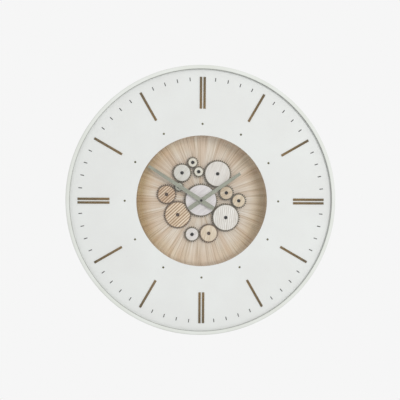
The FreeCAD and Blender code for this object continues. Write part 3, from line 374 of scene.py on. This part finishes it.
def buildWheelTree():
    # a toothed wheel with involute flanks, eight corners to a tooth, and a round bore
    tree, given = newTree("toothedWheel", [
        ("Teeth", "Int", 30), ("Module", "Float", 0.0015), ("Backlash", "Float", 0.00032),
        ("Bore", "Float", 0.00255), ("Thickness", "Float", 0.003), ("Slope", "Float", 25.0),
        ("Addendum", "Float", 0.8), ("Dedendum", "Float", 1.05),
        ("Board", "Material", None), ("Cut Edge", "Material", None)])
    known = dict(given.items(), index=addNode(tree, "GeometryNodeInputIndex"))
    for name, operation, *values in (
            ("width", "MULTIPLY", "Teeth", "Module"), ("pitch", "MULTIPLY", "width", 0.5),
            ("slope", "RADIANS", "Slope"), ("slopeCosine", "COSINE", "slope"),
            ("base", "MULTIPLY", "pitch", "slopeCosine"),
            ("tip", "MULTIPLY_ADD", "Module", "Addendum", "pitch"),
            ("depth", "MULTIPLY", "Module", "Dedendum"), ("root", "SUBTRACT", "pitch", "depth"),
            ("start", "MAXIMUM", "root", "base"),
            # each tooth has a corner at its root, three up one flank, three down the other, and a root corner
            ("corner", "MODULO", "index", 8.0), ("toothShare", "DIVIDE", "index", 8.0),
            ("tooth", "FLOOR", "toothShare"), ("mirrored", "SUBTRACT", 7.0, "corner"),
            ("step", "MINIMUM", "corner", "mirrored"), ("above", "SUBTRACT", "step", 1.0),
            ("climb", "MAXIMUM", "above", 0.0), ("share", "DIVIDE", "climb", 2.0),
            ("height", "SUBTRACT", "tip", "start"), ("flank", "MULTIPLY_ADD", "height", "share", "start"),
            ("atRoot", "LESS_THAN", "step", 0.5), ("offRoot", "SUBTRACT", 1.0, "atRoot"),
            ("rootPart", "MULTIPLY", "root", "atRoot"),
            ("radius", "MULTIPLY_ADD", "flank", "offRoot", "rootPart"),
            # half a tooth's angle there, from the involute's own angle
            ("ratio", "DIVIDE", "base", "radius"), ("cosine", "MINIMUM", "ratio", 1.0),
            ("lean", "ARCCOSINE", "cosine"), ("leanTangent", "TANGENT", "lean"),
            ("unroll", "SUBTRACT", "leanTangent", "lean"), ("slopeTangent", "TANGENT", "slope"),
            ("unrollPitch", "SUBTRACT", "slopeTangent", "slope"),
            ("quarter", "DIVIDE", math.pi / 2, "Teeth"), ("play", "DIVIDE", "Backlash", "width"),
            ("half", "SUBTRACT", "quarter", "play"), ("wide", "ADD", "half", "unrollPitch"),
            ("offset", "SUBTRACT", "wide", "unroll"), ("secondFlank", "GREATER_THAN", "corner", 3.5),
            ("side", "MULTIPLY_ADD", "secondFlank", 2.0, -1.0), ("around", "MULTIPLY", "tooth", math.tau),
            ("middle", "DIVIDE", "around", "Teeth"), ("angle", "MULTIPLY_ADD", "side", "offset", "middle"),
            ("angleCosine", "COSINE", "angle"), ("angleSine", "SINE", "angle"),
            ("across", "MULTIPLY", "radius", "angleCosine"), ("up", "MULTIPLY", "radius", "angleSine"),
            ("corners", "MULTIPLY", "Teeth", 8.0)):
        known[name] = addNode(tree, "ShaderNodeMath", {"operation": operation},
                              {place: known.get(value, value) for place, value in enumerate(values)})
    spot = addNode(tree, "ShaderNodeCombineXYZ", None, {"X": known["across"], "Y": known["up"]})
    loop = addNode(tree, "GeometryNodeMeshCircle", None, {"Vertices": known["corners"]})
    shaped = addNode(tree, "GeometryNodeSetPosition", None, {"Geometry": loop, "Position": spot})
    merged = addNode(tree, "GeometryNodeMergeByDistance", {"Distance": 0.00001}, {"Geometry": shaped})
    outline = addNode(tree, "GeometryNodeMeshToCurve", None, {"Mesh": merged})
    bore = addNode(tree, "GeometryNodeCurvePrimitiveCircle", {"Resolution": 40}, {"Radius": given["Bore"]})
    both = addNode(tree, "GeometryNodeJoinGeometry", None, {0: outline})
    tree.links.new(bore.outputs[0], both.inputs[0])
    sheet = addNode(tree, "GeometryNodeFillCurve", None, {"Curve": both})
    rise = addNode(tree, "ShaderNodeCombineXYZ", None, {"Z": given["Thickness"]})
    raised = addNode(tree, "GeometryNodeExtrudeMesh", {"Offset Scale": 1.0, "Individual": False},
                     {"Mesh": sheet, "Offset": rise})
    edged = addNode(tree, "GeometryNodeSetMaterial", None, {
        "Geometry": raised.outputs["Mesh"], "Selection": raised.outputs["Side"],
        "Material": given["Cut Edge"]})
    faced = addNode(tree, "GeometryNodeSetMaterial", None, {
        "Geometry": edged, "Selection": raised.outputs["Top"], "Material": given["Board"]})
    under = addNode(tree, "GeometryNodeSetMaterial", None, {"Geometry": sheet, "Material": given["Board"]})
    under = addNode(tree, "GeometryNodeFlipFaces", None, {"Mesh": under})
    whole = addNode(tree, "GeometryNodeJoinGeometry", None, {0: faced})
    tree.links.new(under.outputs[0], whole.inputs[0])
    closed = addNode(tree, "GeometryNodeMergeByDistance", {"Distance": 0.00001}, {"Geometry": whole})
    return closeTree(tree, closed)


def buildRingTree():
    # copies of a part drawn at twelve o'clock, turned about the dial's axis
    tree, given = newTree("ringOfParts", [
        ("Count", "Int", 12), ("Every", "Int", 1), ("Keep Every", "Bool", True), ("First Turn", "Float", 0.0),
        ("Finish", "Material", None)])
    points = addNode(tree, "GeometryNodePoints", None, {"Count": given["Count"]})
    known = dict(given.items(), index=addNode(tree, "GeometryNodeInputIndex"))
    for name, operation, *values in (
            ("beat", "MODULO", "index", "Every"), ("isEvery", "LESS_THAN", "beat", 0.5),
            ("place", "ADD", "index", "First Turn"), ("share", "DIVIDE", "place", "Count"),
            ("turn", "MULTIPLY", "share", -math.tau)):
        known[name] = addNode(tree, "ShaderNodeMath", {"operation": operation},
                              {place: known.get(value, value) for place, value in enumerate(values)})
    wanted = addNode(tree, "FunctionNodeBooleanMath", {"operation": "XNOR"},
                     {0: known["isEvery"], 1: given["Keep Every"]})
    turn = addNode(tree, "ShaderNodeCombineXYZ", None, {"Z": known["turn"]})
    copies = addNode(tree, "GeometryNodeInstanceOnPoints", None, {
        "Points": points, "Selection": wanted, "Instance": given["Geometry"], "Rotation": turn})
    return closeTree(tree, addNode(tree, "GeometryNodeRealizeInstances", None, {"Geometry": copies}),
                     given["Finish"])


def buildScatterTree():
    # copies of a part at each of the given corner points
    tree, given = newTree("partsAtPoints", [("Part", "Object", None), ("Finish", "Material", None)])
    part = addNode(tree, "GeometryNodeObjectInfo", None, {"Object": given["Part"]})
    copies = addNode(tree, "GeometryNodeInstanceOnPoints", None, {
        "Points": given["Geometry"], "Instance": part.outputs["Geometry"]})
    return closeTree(tree, addNode(tree, "GeometryNodeRealizeInstances", None, {"Geometry": copies}),
                     given["Finish"])


latheTree, wheelTree = buildLatheTree(), buildWheelTree()
ringTree, scatterTree = buildRingTree(), buildScatterTree()


def runTree(tree, source, values, move=None):
    # the tree's result as a plain mesh, moved into the clock's frame
    holder = bpy.data.objects.new("holder", source)
    scene.collection.objects.link(holder)
    modifier = holder.modifiers.new("nodes", "NODES")
    modifier.node_group = tree
    sockets = {item.name: item.identifier for item in tree.interface.items_tree if item.in_out == "INPUT"}
    for label, value in values.items():
        modifier[sockets[label]] = value
    holder.update_tag()
    mesh = bpy.data.meshes.new_from_object(holder.evaluated_get(bpy.context.evaluated_depsgraph_get()))
    bpy.data.objects.remove(holder)
    mesh.transform(move or Matrix.Identity(4))
    return mesh


def meshFrom(corners, edges=()):
    mesh = bpy.data.meshes.new("outline")
    mesh.from_pydata(corners, edges, ())
    return mesh


weldReach = 0.000004  # corners nearer to each other than this are one


def tidyNormals(mesh, sharpAngle):
    # faces turned outwards, and smooth shading that keeps the edges sharper than the angle
    work = bmesh.new()
    work.from_mesh(mesh)
    bmesh.ops.remove_doubles(work, verts=work.verts, dist=weldReach)
    bmesh.ops.recalc_face_normals(work, faces=work.faces)
    work.to_mesh(mesh)
    work.free()
    mesh.shade_smooth()
    mesh.set_sharp_from_angle(angle=math.radians(sharpAngle))
    return mesh


def turnedMesh(profile, finish, steps, move=None):
    # profile points in millimetres: radius and height towards the viewer
    corners = [(radius * mm, -height * mm, 0) for radius, height in profile]
    edges = [(index, (index + 1) % len(corners)) for index in range(len(corners))]
    return runTree(latheTree, meshFrom(corners, edges), {"Steps": steps, "Finish": finish}, move)


def blockMesh(low, high, chamfer=0.0, segments=2):
    # a box between two corners in millimetres, with its edges eased where a chamfer is given
    work = bmesh.new()
    size = [(top - bottom) * mm for bottom, top in zip(low, high)]
    middle = [(top + bottom) / 2 * mm for bottom, top in zip(low, high)]
    bmesh.ops.create_cube(work, size=1.0, matrix=Matrix.Translation(middle) @ Matrix.Diagonal(size + [1]))
    if chamfer:
        bmesh.ops.bevel(work, geom=work.edges[:], offset=chamfer * mm, segments=segments, profile=0.7,
                        affect="EDGES")
    mesh = bpy.data.meshes.new("block")
    work.to_mesh(mesh)
    work.free()
    return mesh


def joinMeshes(meshes, finish):
    # one mesh from several of the same finish
    work = bmesh.new()
    for mesh in meshes:
        work.from_mesh(mesh)
    joined = bpy.data.meshes.new("joined")
    work.to_mesh(joined)
    work.free()
    joined.materials.append(finish)
    return joined


def placePiece(name, mesh, body, *nodes, sharpAngle=30):
    piece = bpy.data.objects.new(name, tidyNormals(mesh, sharpAngle))
    scene.collection.objects.link(piece)
    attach(piece, body)
    if nodes:
        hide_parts(*nodes)
    return piece


def dressNode(node, body, finish, bevel=0.0, sharpAngle=35):
    # the node's own shape with its loose triangles joined, its edges eased and its finish on
    mesh = frame["nodes"][node].data.copy()
    work = bmesh.new()
    work.from_mesh(mesh)
    bmesh.ops.remove_doubles(work, verts=work.verts, dist=weldReach)
    bmesh.ops.dissolve_limit(work, angle_limit=math.radians(0.6), verts=work.verts, edges=work.edges)
    work.to_mesh(mesh)
    work.free()
    mesh.materials.clear()
    mesh.materials.append(finish)
    for face in mesh.polygons:
        face.material_index = 0
    piece = placePiece(node + "_dressed", mesh, body, node, sharpAngle=sharpAngle)
    if bevel:
        ease = piece.modifiers.new("ease", "BEVEL")
        ease.width = bevel * mm
        ease.segments = 2
        ease.limit_method = "ANGLE"
        ease.angle_limit = math.radians(40)
    return piece


print("trees ready")

rimLook = {"radius": 305.0, "wall": 2.0, "lipReach": 8.3, "frontRound": 3.0, "lipRound": 0.9,
           "backRound": 0.7}


def roundedPath(points, steps=5):
    # points are (radius, height) or (radius, height, round); a third value rounds that corner
    path = []
    for index, point in enumerate(points):
        here = Vector(point[:2])
        if len(point) < 3:
            path.append(tuple(here))
            continue
        before = Vector(points[index - 1][:2])
        after = Vector(points[(index + 1) % len(points)][:2])
        start = here + (before - here).normalized() * point[2]
        end = here + (after - here).normalized() * point[2]
        centre = start + end - here  # right-angled corners only
        for step in range(steps + 1):
            turn = math.pi / 2 * step / steps
            spot = centre + (start - centre) * math.cos(turn) + (end - centre) * math.sin(turn)
            path.append(tuple(spot))
    return path


def makeRim():
    outer, inner = rimLook["radius"], rimLook["radius"] - rimLook["wall"]
    lip = rimLook["radius"] - rimLook["lipReach"]
    front, back, lipBack = heights("case_bezel")[0], heights("case_band")[1], heights("front_glass")[0]
    profile = roundedPath([
        (lip, lipBack), (lip, front, rimLook["lipRound"]), (outer, front, rimLook["frontRound"]),
        (outer, back, rimLook["backRound"]), (inner, back, rimLook["backRound"]), (inner, lipBack)])
    mesh = turnedMesh(profile, creamEnamelSteel, 288, faceOn)
    placePiece("enamelled_rim", mesh, "case", "case_bezel", "case_band")


stackLook = {"fitted": 302.6, "arris": 0.5, "spacerInner": 298.0, "spacerRound": 0.5, "beadInner": 295.7,
             "beadOuter": 296.7, "beadHeight": 0.6, "beadRound": 0.4, "aperture": 148.0, "dialRound": 0.5}


def ringMesh(inner, outer, back, front, edgeRound, finish, steps, move=None):
    # a flat ring, rounded at the front of its inner edge
    path = roundedPath([(inner, back), (inner, front, edgeRound), (outer, front), (outer, back)])
    return turnedMesh(path, finish, steps, move)


def makeDialStack():
    edge, radius = stackLook["arris"], stackLook["fitted"]
    front, back = heights("front_glass")
    glass = turnedMesh([(0, front), (radius - edge, front), (radius, front - edge), (radius, back + edge),
                        (radius - edge, back), (0, back)], floatGlass, 192, faceOn)
    placePiece("glass_pane", glass, "case", "front_glass")
    bead = ringMesh(stackLook["beadInner"], stackLook["beadOuter"], front, front + stackLook["beadHeight"],
                    stackLook["beadRound"], greyRubberSeal, 288, faceOn)
    placePiece("glass_bead", bead, "case")
    front, back = heights("glass_spacer")
    spacer = ringMesh(stackLook["spacerInner"], radius, back, front, stackLook["spacerRound"], whiteFoamSeal,
                      240, faceOn)
    placePiece("glass_seal", spacer, "case", "glass_spacer")
    front, back = heights("dial")
    dial = ringMesh(stackLook["aperture"], radius, back, front, stackLook["dialRound"], whiteLacquerBoard,
                    256)
    dial.materials.append(rawFibreboard)
    for face in dial.polygons:
        if face.center.xy.length < stackLook["aperture"] * mm:  # the sawn bore shows the board's own colour
            face.material_index = 1
    dial.transform(faceOn)
    placePiece("lacquered_dial", dial, "case", "dial")


makeRim()
makeDialStack()
print("rim, glass and dial made")

markLook = {"batonInner": 208.0, "batonOuter": 279.0, "batonWidth": 5.4, "batonHeight": 1.2,
            "batonBevel": 0.45, "pairPitch": 8.2, "dotCircle": 174.0, "dotRadius": 2.4, "dotHeight": 0.7,
            "domeTurns": (0.35, 0.75, 1.15),
            "tickCircle": 274.4, "tickLength": 8.0, "tickWidth": 2.0, "tickHeight": 0.3, "tickBevel": 0.1}


def makeMarks():
    low = heights("dial")[0]
    high = low + markLook["batonHeight"]
    half = markLook["batonWidth"] / 2

    def batonRing(shift, isPair):
        baton = blockMesh((shift - half, markLook["batonInner"], low),
                          (shift + half, markLook["batonOuter"], high), markLook["batonBevel"])
        return runTree(ringTree, baton, {
            "Count": 12, "Every": 3, "Keep Every": isPair, "Finish": brushedBronze})

    side = markLook["pairPitch"] / 2  # two batons at 12, 3, 6 and 9, one at the other hours
    batons = joinMeshes([batonRing(0, False), batonRing(-side, True), batonRing(side, True)], brushedBronze)
    batons.transform(faceOn)
    placePiece("bronze_batons", batons, "case", "hour_batons")
    radius, height = markLook["dotRadius"], markLook["dotHeight"]
    dome = [(0, low), (radius, low)]
    dome += [(radius * math.cos(turn), low + height * math.sin(turn)) for turn in markLook["domeTurns"]]
    dome.append((0, low + height))
    dot = turnedMesh(dome, oliveBronze, 24, Matrix.Translation((0, markLook["dotCircle"] * mm, 0)))
    dots = runTree(ringTree, dot, {"Count": 12, "Finish": oliveBronze}, faceOn)
    placePiece("bronze_dots", dots, "case", "hour_dots", sharpAngle=50)
    wide, long, circle = markLook["tickWidth"] / 2, markLook["tickLength"] / 2, markLook["tickCircle"]
    tick = blockMesh((-wide, circle - long, low), (wide, circle + long, low + markLook["tickHeight"]),
                     markLook["tickBevel"], 1)
    ticks = runTree(ringTree, tick, {
        "Count": 60, "Every": 5, "Keep Every": False, "Finish": darkDialInk}, faceOn)
    placePiece("minute_ink", ticks, "case", "minute_marks")


makeMarks()
print("marks made")

dishLook = {"sharpAngle": 28, "boardFrom": 0.3}


def makeDish():
    # only the front is veneered: faces that look back or out show the board
    dish = dressNode("wooden_dish", "case", sunburstVeneer, sharpAngle=dishLook["sharpAngle"])
    dish.data.materials.append(rawFibreboard)
    for face in dish.data.polygons:
        outwards = face.normal.xz.dot(face.center.xz.normalized())
        if max(face.normal.y, outwards) > dishLook["boardFrom"]:
            face.material_index = 1


makeDish()
dressNode("body_ring", "case", rawFibreboard, 0.3)
dressNode("back_board", "case", blackFacedBoard, 0.25)
dressNode("hanger_plate", "case", zincPlate, 0.35)

screwLook = {"radius": 1.75, "headRadius": 3.5, "headDepth": 1.9, "back": -23.0, "pointLength": 1.0,
             "pointRadius": 0.4, "slotWidth": 0.75, "slotReach": 2.1, "slotDepth": 1.0,
             "boardScrews": 12, "boardCircle": 289.6, "boardLength": 16.0,
             "dishScrews": 6, "dishCircle": 126.0, "dishLength": 6.0,
             "hangerRadius": 2.0, "hangerHeadRadius": 3.6, "hangerHeadHeight": 2.2, "hangerLength": 14.0,
             "hangerSpread": 22.0, "hangerFoot": -25.0,
             "hangerDome": ((0.5, 1.0), (0.85, 0.75), (1.0, 0.4))}  # shares of the head's radius and height


def cutCross(mesh, height):
    # a cross recess in a screw head whose top lies at the given height
    holder = bpy.data.objects.new("head", mesh)
    scene.collection.objects.link(holder)
    bars = []
    wide, long, deep = screwLook["slotWidth"] / 2, screwLook["slotReach"], screwLook["slotDepth"]
    for across, up in ((wide, long), (long, wide)):
        bar = bpy.data.objects.new("bar", blockMesh((-across, -up, height - 1), (across, up, height + deep)))
        scene.collection.objects.link(bar)
        bars.append(bar)
        tool = holder.modifiers.new("recess", "BOOLEAN")
        tool.operation = "DIFFERENCE"
        tool.object = bar
        tool.solver = "EXACT"
    result = bpy.data.meshes.new_from_object(holder.evaluated_get(bpy.context.evaluated_depsgraph_get()))
    for item in bars + [holder]:
        bpy.data.objects.remove(item)
    return result


def scatterParts(name, part, corners, finish, body, *nodes):
    partHolder = bpy.data.objects.new("part", part)
    scene.collection.objects.link(partHolder)
    mesh = runTree(scatterTree, meshFrom(corners), {"Part": partHolder, "Finish": finish}, faceOn)
    bpy.data.objects.remove(partHolder)
    placePiece(name, mesh, body, *nodes)


def makeScrews():
    back, radius = screwLook["back"], screwLook["radius"]
    for use, firstTurn in (("board", 0.5), ("dish", 0.0)):
        length = screwLook[use + "Length"]
        profile = [(0, back), (screwLook["headRadius"], back), (radius, back + screwLook["headDepth"]),
                   (radius, back + length - screwLook["pointLength"]),
                   (screwLook["pointRadius"], back + length), (0, back + length)]
        screw = cutCross(turnedMesh(profile, zincPlate, 24), back)
        screw.transform(Matrix.Translation((0, screwLook[use + "Circle"] * mm, 0)))
        ringed = runTree(ringTree, screw, {
            "Count": screwLook[use + "Screws"], "First Turn": firstTurn, "Finish": zincPlate}, faceOn)
        placePiece(use + "_fixings", ringed, "case", use + "_screws")
    foot, rise, wide = screwLook["hangerFoot"], screwLook["hangerHeadHeight"], screwLook["hangerHeadRadius"]
    tip = foot + screwLook["hangerLength"]
    profile = [(0, foot - rise)]
    profile += [(wide * out, foot - rise * up) for out, up in screwLook["hangerDome"]]
    profile += [(wide, foot), (screwLook["hangerRadius"], foot), (screwLook["hangerRadius"], tip), (0, tip)]
    screw = cutCross(turnedMesh(profile, zincPlate, 28), foot - rise)
    corners = [(side * screwLook["hangerSpread"] * mm, screwLook["boardCircle"] * mm, 0) for side in (-1, 1)]
    scatterParts("hanger_fixings", screw, corners, zincPlate, "case", "hanger_screws")


makeScrews()
print("dish, boards and screws made")

gearLook = {"module": 1.5, "slope": 25.0, "addendum": 0.8, "dedendum": 1.05, "backlash": 0.32,
            "pinRadius": 2.5, "bushRadius": 4.0, "runningGap": 0.05, "faceMargin": 3.0, "faceRound": 0.3}
gearTeeth = {"centre": 51, "lower_right": 43, "right": 23, "inner_right": 23, "upper_right": 42,
             "upper_middle": 17, "top": 17, "upper_left": 29, "link": 15, "left": 30, "lower_left": 42,
             "bottom": 29, "bottom_left": 23}
# each gear's driver, and where it lies from there in degrees up from 3 o'clock
gearDrivers = {"lower_right": ("centre", -34.5), "right": ("lower_right", 52.5),
               "inner_right": ("right", 148.0), "upper_right": ("inner_right", 115.0),
               "upper_middle": ("upper_right", 174.0), "top": ("upper_middle", 123.5),
               "upper_left": ("top", -135.5), "link": ("upper_left", -102.0), "left": ("link", -148.0),
               "lower_left": ("left", -61.0), "bottom": ("lower_right", -137.0),
               "bottom_left": ("bottom", -176.5)}
brownGears = ("left", "lower_left", "bottom")
# grain angle, spacing in mm, stretch, waves, the streaks' dark, middle and light tones, the bands' shade;
# where growth rings show, their size in mm, bend and tone: finer rings, as in real wood, would not show
veneerKeys = ("angle", "spacing", "stretch", "waves", "dark", "middle", "light", "shade", "rings", "bend",
              "ringDark")
veneerLooks = {
    "centre": (38, 1.3, 26, 0.6, "#DAD5D7", "#E4DFE0", "#EBE7E8", "#F2EFF1"),
    "lower_right": (84, 1.7, 12, 1.2, "#DFDBD6", "#F0EDE9", "#FAF8F5", "#EFEDEA", 2.3, 2.5, "#E7E4E1"),
    "right": (60, 1.6, 14, 0.7, "#CCB89D", "#DECEB6", "#E7DAC6", "#EAE0D2"),
    "inner_right": (20, 1.6, 14, 0.7, "#C0AC90", "#D2C1AA", "#DDCEB9", "#EAE0D2"),
    "upper_right": (70, 1.5, 20, 0.6, "#DAD5D0", "#E6E2DE", "#EDEAE6", "#F0EDEA"),
    "upper_middle": (10, 1.4, 14, 0.5, "#D7D2C6", "#E4E0D5", "#ECE9DF", "#EFECE6"),
    "top": (35, 1.4, 14, 0.5, "#D7D2C5", "#E4E0D4", "#ECE8DD", "#EFECE6"),
    "upper_left": (50, 1.5, 18, 0.6, "#D0CEC8", "#DCDAD4", "#E3E2DC", "#EFEDEA"),
    "link": (0, 1.4, 12, 0.4, "#C1C3B8", "#CCCEC3", "#D5D7CD", "#EDEDE8"),
    "left": (42, 1.6, 22, 0.5, "#C8AD91", "#DCC5AC", "#E8D5BF", "#ECE2D6", 2.7, 0.6, "#B59C83"),
    "lower_left": (43, 1.7, 24, 0.5, "#D6C0A6", "#E6D3BB", "#F2E2CE", "#EFE7DC", 2.8, 0.5, "#BCA58B"),
    "bottom": (75, 1.6, 16, 0.7, "#D1C0A8", "#E1D1BB", "#EADDCA", "#EDE5DA"),
    "bottom_left": (30, 1.5, 16, 0.6, "#D9D3D1", "#E4DFDD", "#ECE8E6", "#F0EDEC")}
# board tones; the teeth's darker tone is the laser's brown with painted shade
boardLooks = {"pale": {"light": "#827C6B", "dark": "#665E4D", "scorchShade": "#4F4636", "char": "#2A241B"},
              "brown": {"light": "#937E68", "dark": "#725E4B", "scorchShade": "#5C4733", "char": "#33261B"}}
cutEdges = {tone: charredEdge(tone + "CutEdge", look["char"], look["dark"])
            for tone, look in boardLooks.items()}


def gearPhases():
    # each wheel's turn, from the gear before it, so that every pair of teeth meshes
    phases = {"centre": 0.0}
    for name, (driver, direction) in gearDrivers.items():
        share = (direction - phases[driver]) * gearTeeth[driver] / 360
        phases[name] = direction + 180 - (0.5 - share) * 360 / gearTeeth[name]
    return phases


def makeGears():
    phases = gearPhases()
    pin, bush, gap = gearLook["pinRadius"], gearLook["bushRadius"], gearLook["runningGap"]
    bores = {"centre": bush + gap, "lower_right": pin}  # the others run on pins
    for name, teeth in gearTeeth.items():
        body = name + "_gear"
        across, _, up = jointPlaces[body + "_spin"]
        front, back = heights(body)
        bore = bores.get(name, pin + gap)
        boardTone = "brown" if name in brownGears else "pale"
        rootRadius = (teeth / 2 - gearLook["dedendum"]) * gearLook["module"] * mm
        board = wheelBoard("board_" + name, (across, up), rootRadius, boardLooks[boardTone])
        standing = Matrix.Translation((across, -back * mm, up)) @ faceOn
        wheel = runTree(wheelTree, meshFrom([(0, 0, 0)]), {
            "Teeth": teeth, "Module": gearLook["module"] * mm, "Backlash": gearLook["backlash"] * mm,
            "Bore": bore * mm, "Thickness": (front - back) * mm, "Slope": gearLook["slope"],
            "Addendum": gearLook["addendum"], "Dedendum": gearLook["dedendum"], "Board": board,
            "Cut Edge": cutEdges[boardTone]},
            standing @ Matrix.Rotation(math.radians(phases[name]), 4, "Z"))
        faceRadius = teeth * gearLook["module"] / 2 - gearLook["faceMargin"]
        top = heights(body + "_face")[0]
        look = dict(zip(veneerKeys, veneerLooks[name]))
        disc = turnedMesh(roundedPath([(bore, front), (bore, top), (faceRadius, top, gearLook["faceRound"]),
                                       (faceRadius, front)], 3),
                          gearVeneer("veneer_" + name, (across, up), look), 96,
                          Matrix.Translation((across, 0, up)) @ faceOn)
        placePiece(name + "_wheel", wheel, body, body, sharpAngle=28)
        placePiece(name + "_veneer", disc, body, body + "_face")


makeGears()
print("gears made:", len(gearTeeth))

capLook = {"radius": 4.0, "height": 1.6, "round": 0.55, "lift": 0.3}


def makeCaps():
    radius, height = capLook["radius"], capLook["height"]
    path = roundedPath([(0, 0), (radius, 0), (radius, height, capLook["round"]), (0, height)], 4)
    for label, finish in (("black", blackAcetal), ("brown", brownAcetal)):
        corners = []
        for name in gearTeeth:
            if name in ("centre", "lower_right"):  # these run on the bush and the drive arbor
                continue
            if (name in brownGears) != (label == "brown"):
                continue
            across, _, up = jointPlaces[name + "_gear_spin"]
            corners.append((across, up, (heights(name + "_gear_face")[0] + capLook["lift"]) * mm))
        cap = turnedMesh(path, finish, 32)
        scatterParts(label + "_hub_caps", cap, corners, finish, "case", label + "_caps")


makeCaps()
dressNode("gear_pins", "case", turnedSteel)
dressNode("drive_arbor", "lower_right_gear", blackAcetal)
print("pins and caps made")

dressNode("hour_hand", "hour_hand_set", sageEnamel, 0.22)
dressNode("minute_hand", "minute_hand_set", sageEnamel, 0.22)
dressNode("hand_nut", "minute_hand_set", blackAcetal, 0.1)
dressNode("threaded_bush", "case", turnedBrass)
dressNode("bush_nut", "case", turnedBrass, 0.3)
dressNode("bush_washer", "case", nitrileRubber)
dressNode("bush_clip", "case", turnedSteel, 0.15)
dressNode("hour_tube", "hour_hand_set", turnedBrass)
dressNode("minute_shaft", "minute_hand_set", turnedBrass)
print("hands made")


def makeCellJacket():
    # printed steel jacket: bare ends, a pale body and a darker band, repeated at the second cell's place
    material, tree = newMaterial("printedJacket")
    place = addNode(tree, "ShaderNodeTexCoord")
    along = addNode(tree, "ShaderNodeSeparateXYZ", None, {0: place.outputs["Object"]}).outputs["X"]
    pitch = 0.0581  # from one cell's end to the next one's
    share = addNode(tree, "ShaderNodeMath", {"operation": "FRACT"}, {
        0: addNode(tree, "ShaderNodeMath", {"operation": "DIVIDE", 1: pitch}, {
            0: addNode(tree, "ShaderNodeMath", {"operation": "ADD", 1: pitch / 2}, {0: along})})})
    ramp = toneRamp(tree, share, [(0.0, "#BDBDBA"), (0.075, "#C9CBCC"), (0.60, "#3D4A57"), (0.90, "#BDBDBA")])
    ramp.color_ramp.interpolation = "CONSTANT"
    closeMaterial(tree, ramp, {"Roughness": 0.32, "Metallic": 0.4})
    return material


dressNode("movement_case", "case", blackAbs, 0.4)
dressNode("drive_case", "case", blackAbs, 0.4)
dressNode("box_covers", "case", blackAbs, 0.25)
dressNode("setting_knob", "setting_knob", whiteAbs, 0.15)
dressNode("slide_switch", "slide_switch", whiteAbs, 0.15)
dressNode("aa_cells", "case", makeCellJacket(), 0.3)
print("movement made")

studio = {"background": "#F6F6F6", "ambient": 0.59,
          "floorDrop": 0.68, "floorRadius": 0.55, "floorTone": "#E8E8E6",
          "keyPlace": (1.0, -3.1, 0.7), "keySize": 1.6, "keyPower": 50.0,
          "cameraPlace": (-0.09565, -1.49943, 0.06911), "cameraTurn": (87.3165, -0.4091, -3.7001),
          "lens": 58.5, "shift": (-0.0047, 0.0025)}


def makeWorld():
    world = bpy.data.worlds.new("studio")
    scene.world = world
    world.use_nodes = True
    tree = world.node_tree
    tree.nodes.clear()
    path = addNode(tree, "ShaderNodeLightPath")
    seen = addNode(tree, "ShaderNodeMath", {"operation": "MAXIMUM"}, {
        0: path.outputs["Is Camera Ray"],
        1: addNode(tree, "ShaderNodeMath", {"operation": "MAXIMUM"}, {
            0: path.outputs["Is Glossy Ray"], 1: path.outputs["Is Transmission Ray"]})})
    light = addNode(tree, "ShaderNodeBackground", {"Color": (1, 1, 1, 1), "Strength": studio["ambient"]})
    shown = addNode(tree, "ShaderNodeBackground", {"Color": colour(studio["background"]), "Strength": 1.0})
    both = addNode(tree, "ShaderNodeMixShader", None, {"Fac": seen, 1: light, 2: shown})
    addNode(tree, "ShaderNodeOutputWorld", None, {"Surface": both})


def makeFloor():
    material, tree = newMaterial("paleFloor")
    place = addNode(tree, "ShaderNodeTexCoord")
    reach = addNode(tree, "ShaderNodeVectorMath", {"operation": "LENGTH"}, {
        0: addNode(tree, "ShaderNodeVectorMath", {"operation": "MULTIPLY", 1: (1, 1, 0)},
                   {0: place.outputs["Object"]})})
    fade = addNode(tree, "ShaderNodeMapRange", {"From Min": studio["floorRadius"] * 0.5,
                                                "From Max": studio["floorRadius"]},
                   {"Value": reach.outputs["Value"]})
    matt = addNode(tree, "ShaderNodeBsdfDiffuse", {"Color": colour(studio["floorTone"])})
    clear = addNode(tree, "ShaderNodeBsdfTransparent")
    both = addNode(tree, "ShaderNodeMixShader", None, {"Fac": fade, 1: matt, 2: clear})
    addNode(tree, "ShaderNodeOutputMaterial", None, {"Surface": both})
    work = bmesh.new()
    bmesh.ops.create_circle(work, cap_ends=True, segments=96, radius=studio["floorRadius"],
                            matrix=Matrix.Translation((0, 0, -studio["floorDrop"])))
    mesh = bpy.data.meshes.new("floor")
    work.to_mesh(mesh)
    work.free()
    mesh.materials.append(material)
    floor = bpy.data.objects.new("studio_floor", mesh)
    scene.collection.objects.link(floor)


def makeLightAndCamera():
    lamp = bpy.data.lights.new("key", "AREA")
    lamp.size = studio["keySize"]
    lamp.energy = studio["keyPower"]
    key = bpy.data.objects.new("key", lamp)
    key.location = studio["keyPlace"]
    key.visible_glossy = key.visible_transmission = False  # the pane's two faces would mirror the lamp
    key.rotation_euler = (-Vector(studio["keyPlace"])).to_track_quat("-Z", "Y").to_euler()
    scene.collection.objects.link(key)
    lens = bpy.data.cameras.new("camera")
    lens.lens = studio["lens"]
    lens.sensor_width = 36.0
    lens.shift_x, lens.shift_y = studio["shift"]
    camera = bpy.data.objects.new("camera", lens)
    camera.location = studio["cameraPlace"]
    camera.rotation_euler = [math.radians(turn) for turn in studio["cameraTurn"]]
    scene.collection.objects.link(camera)
    scene.camera = camera


makeWorld()
makeFloor()
makeLightAndCamera()
scene.view_settings.view_transform = "Standard"
print("studio made")
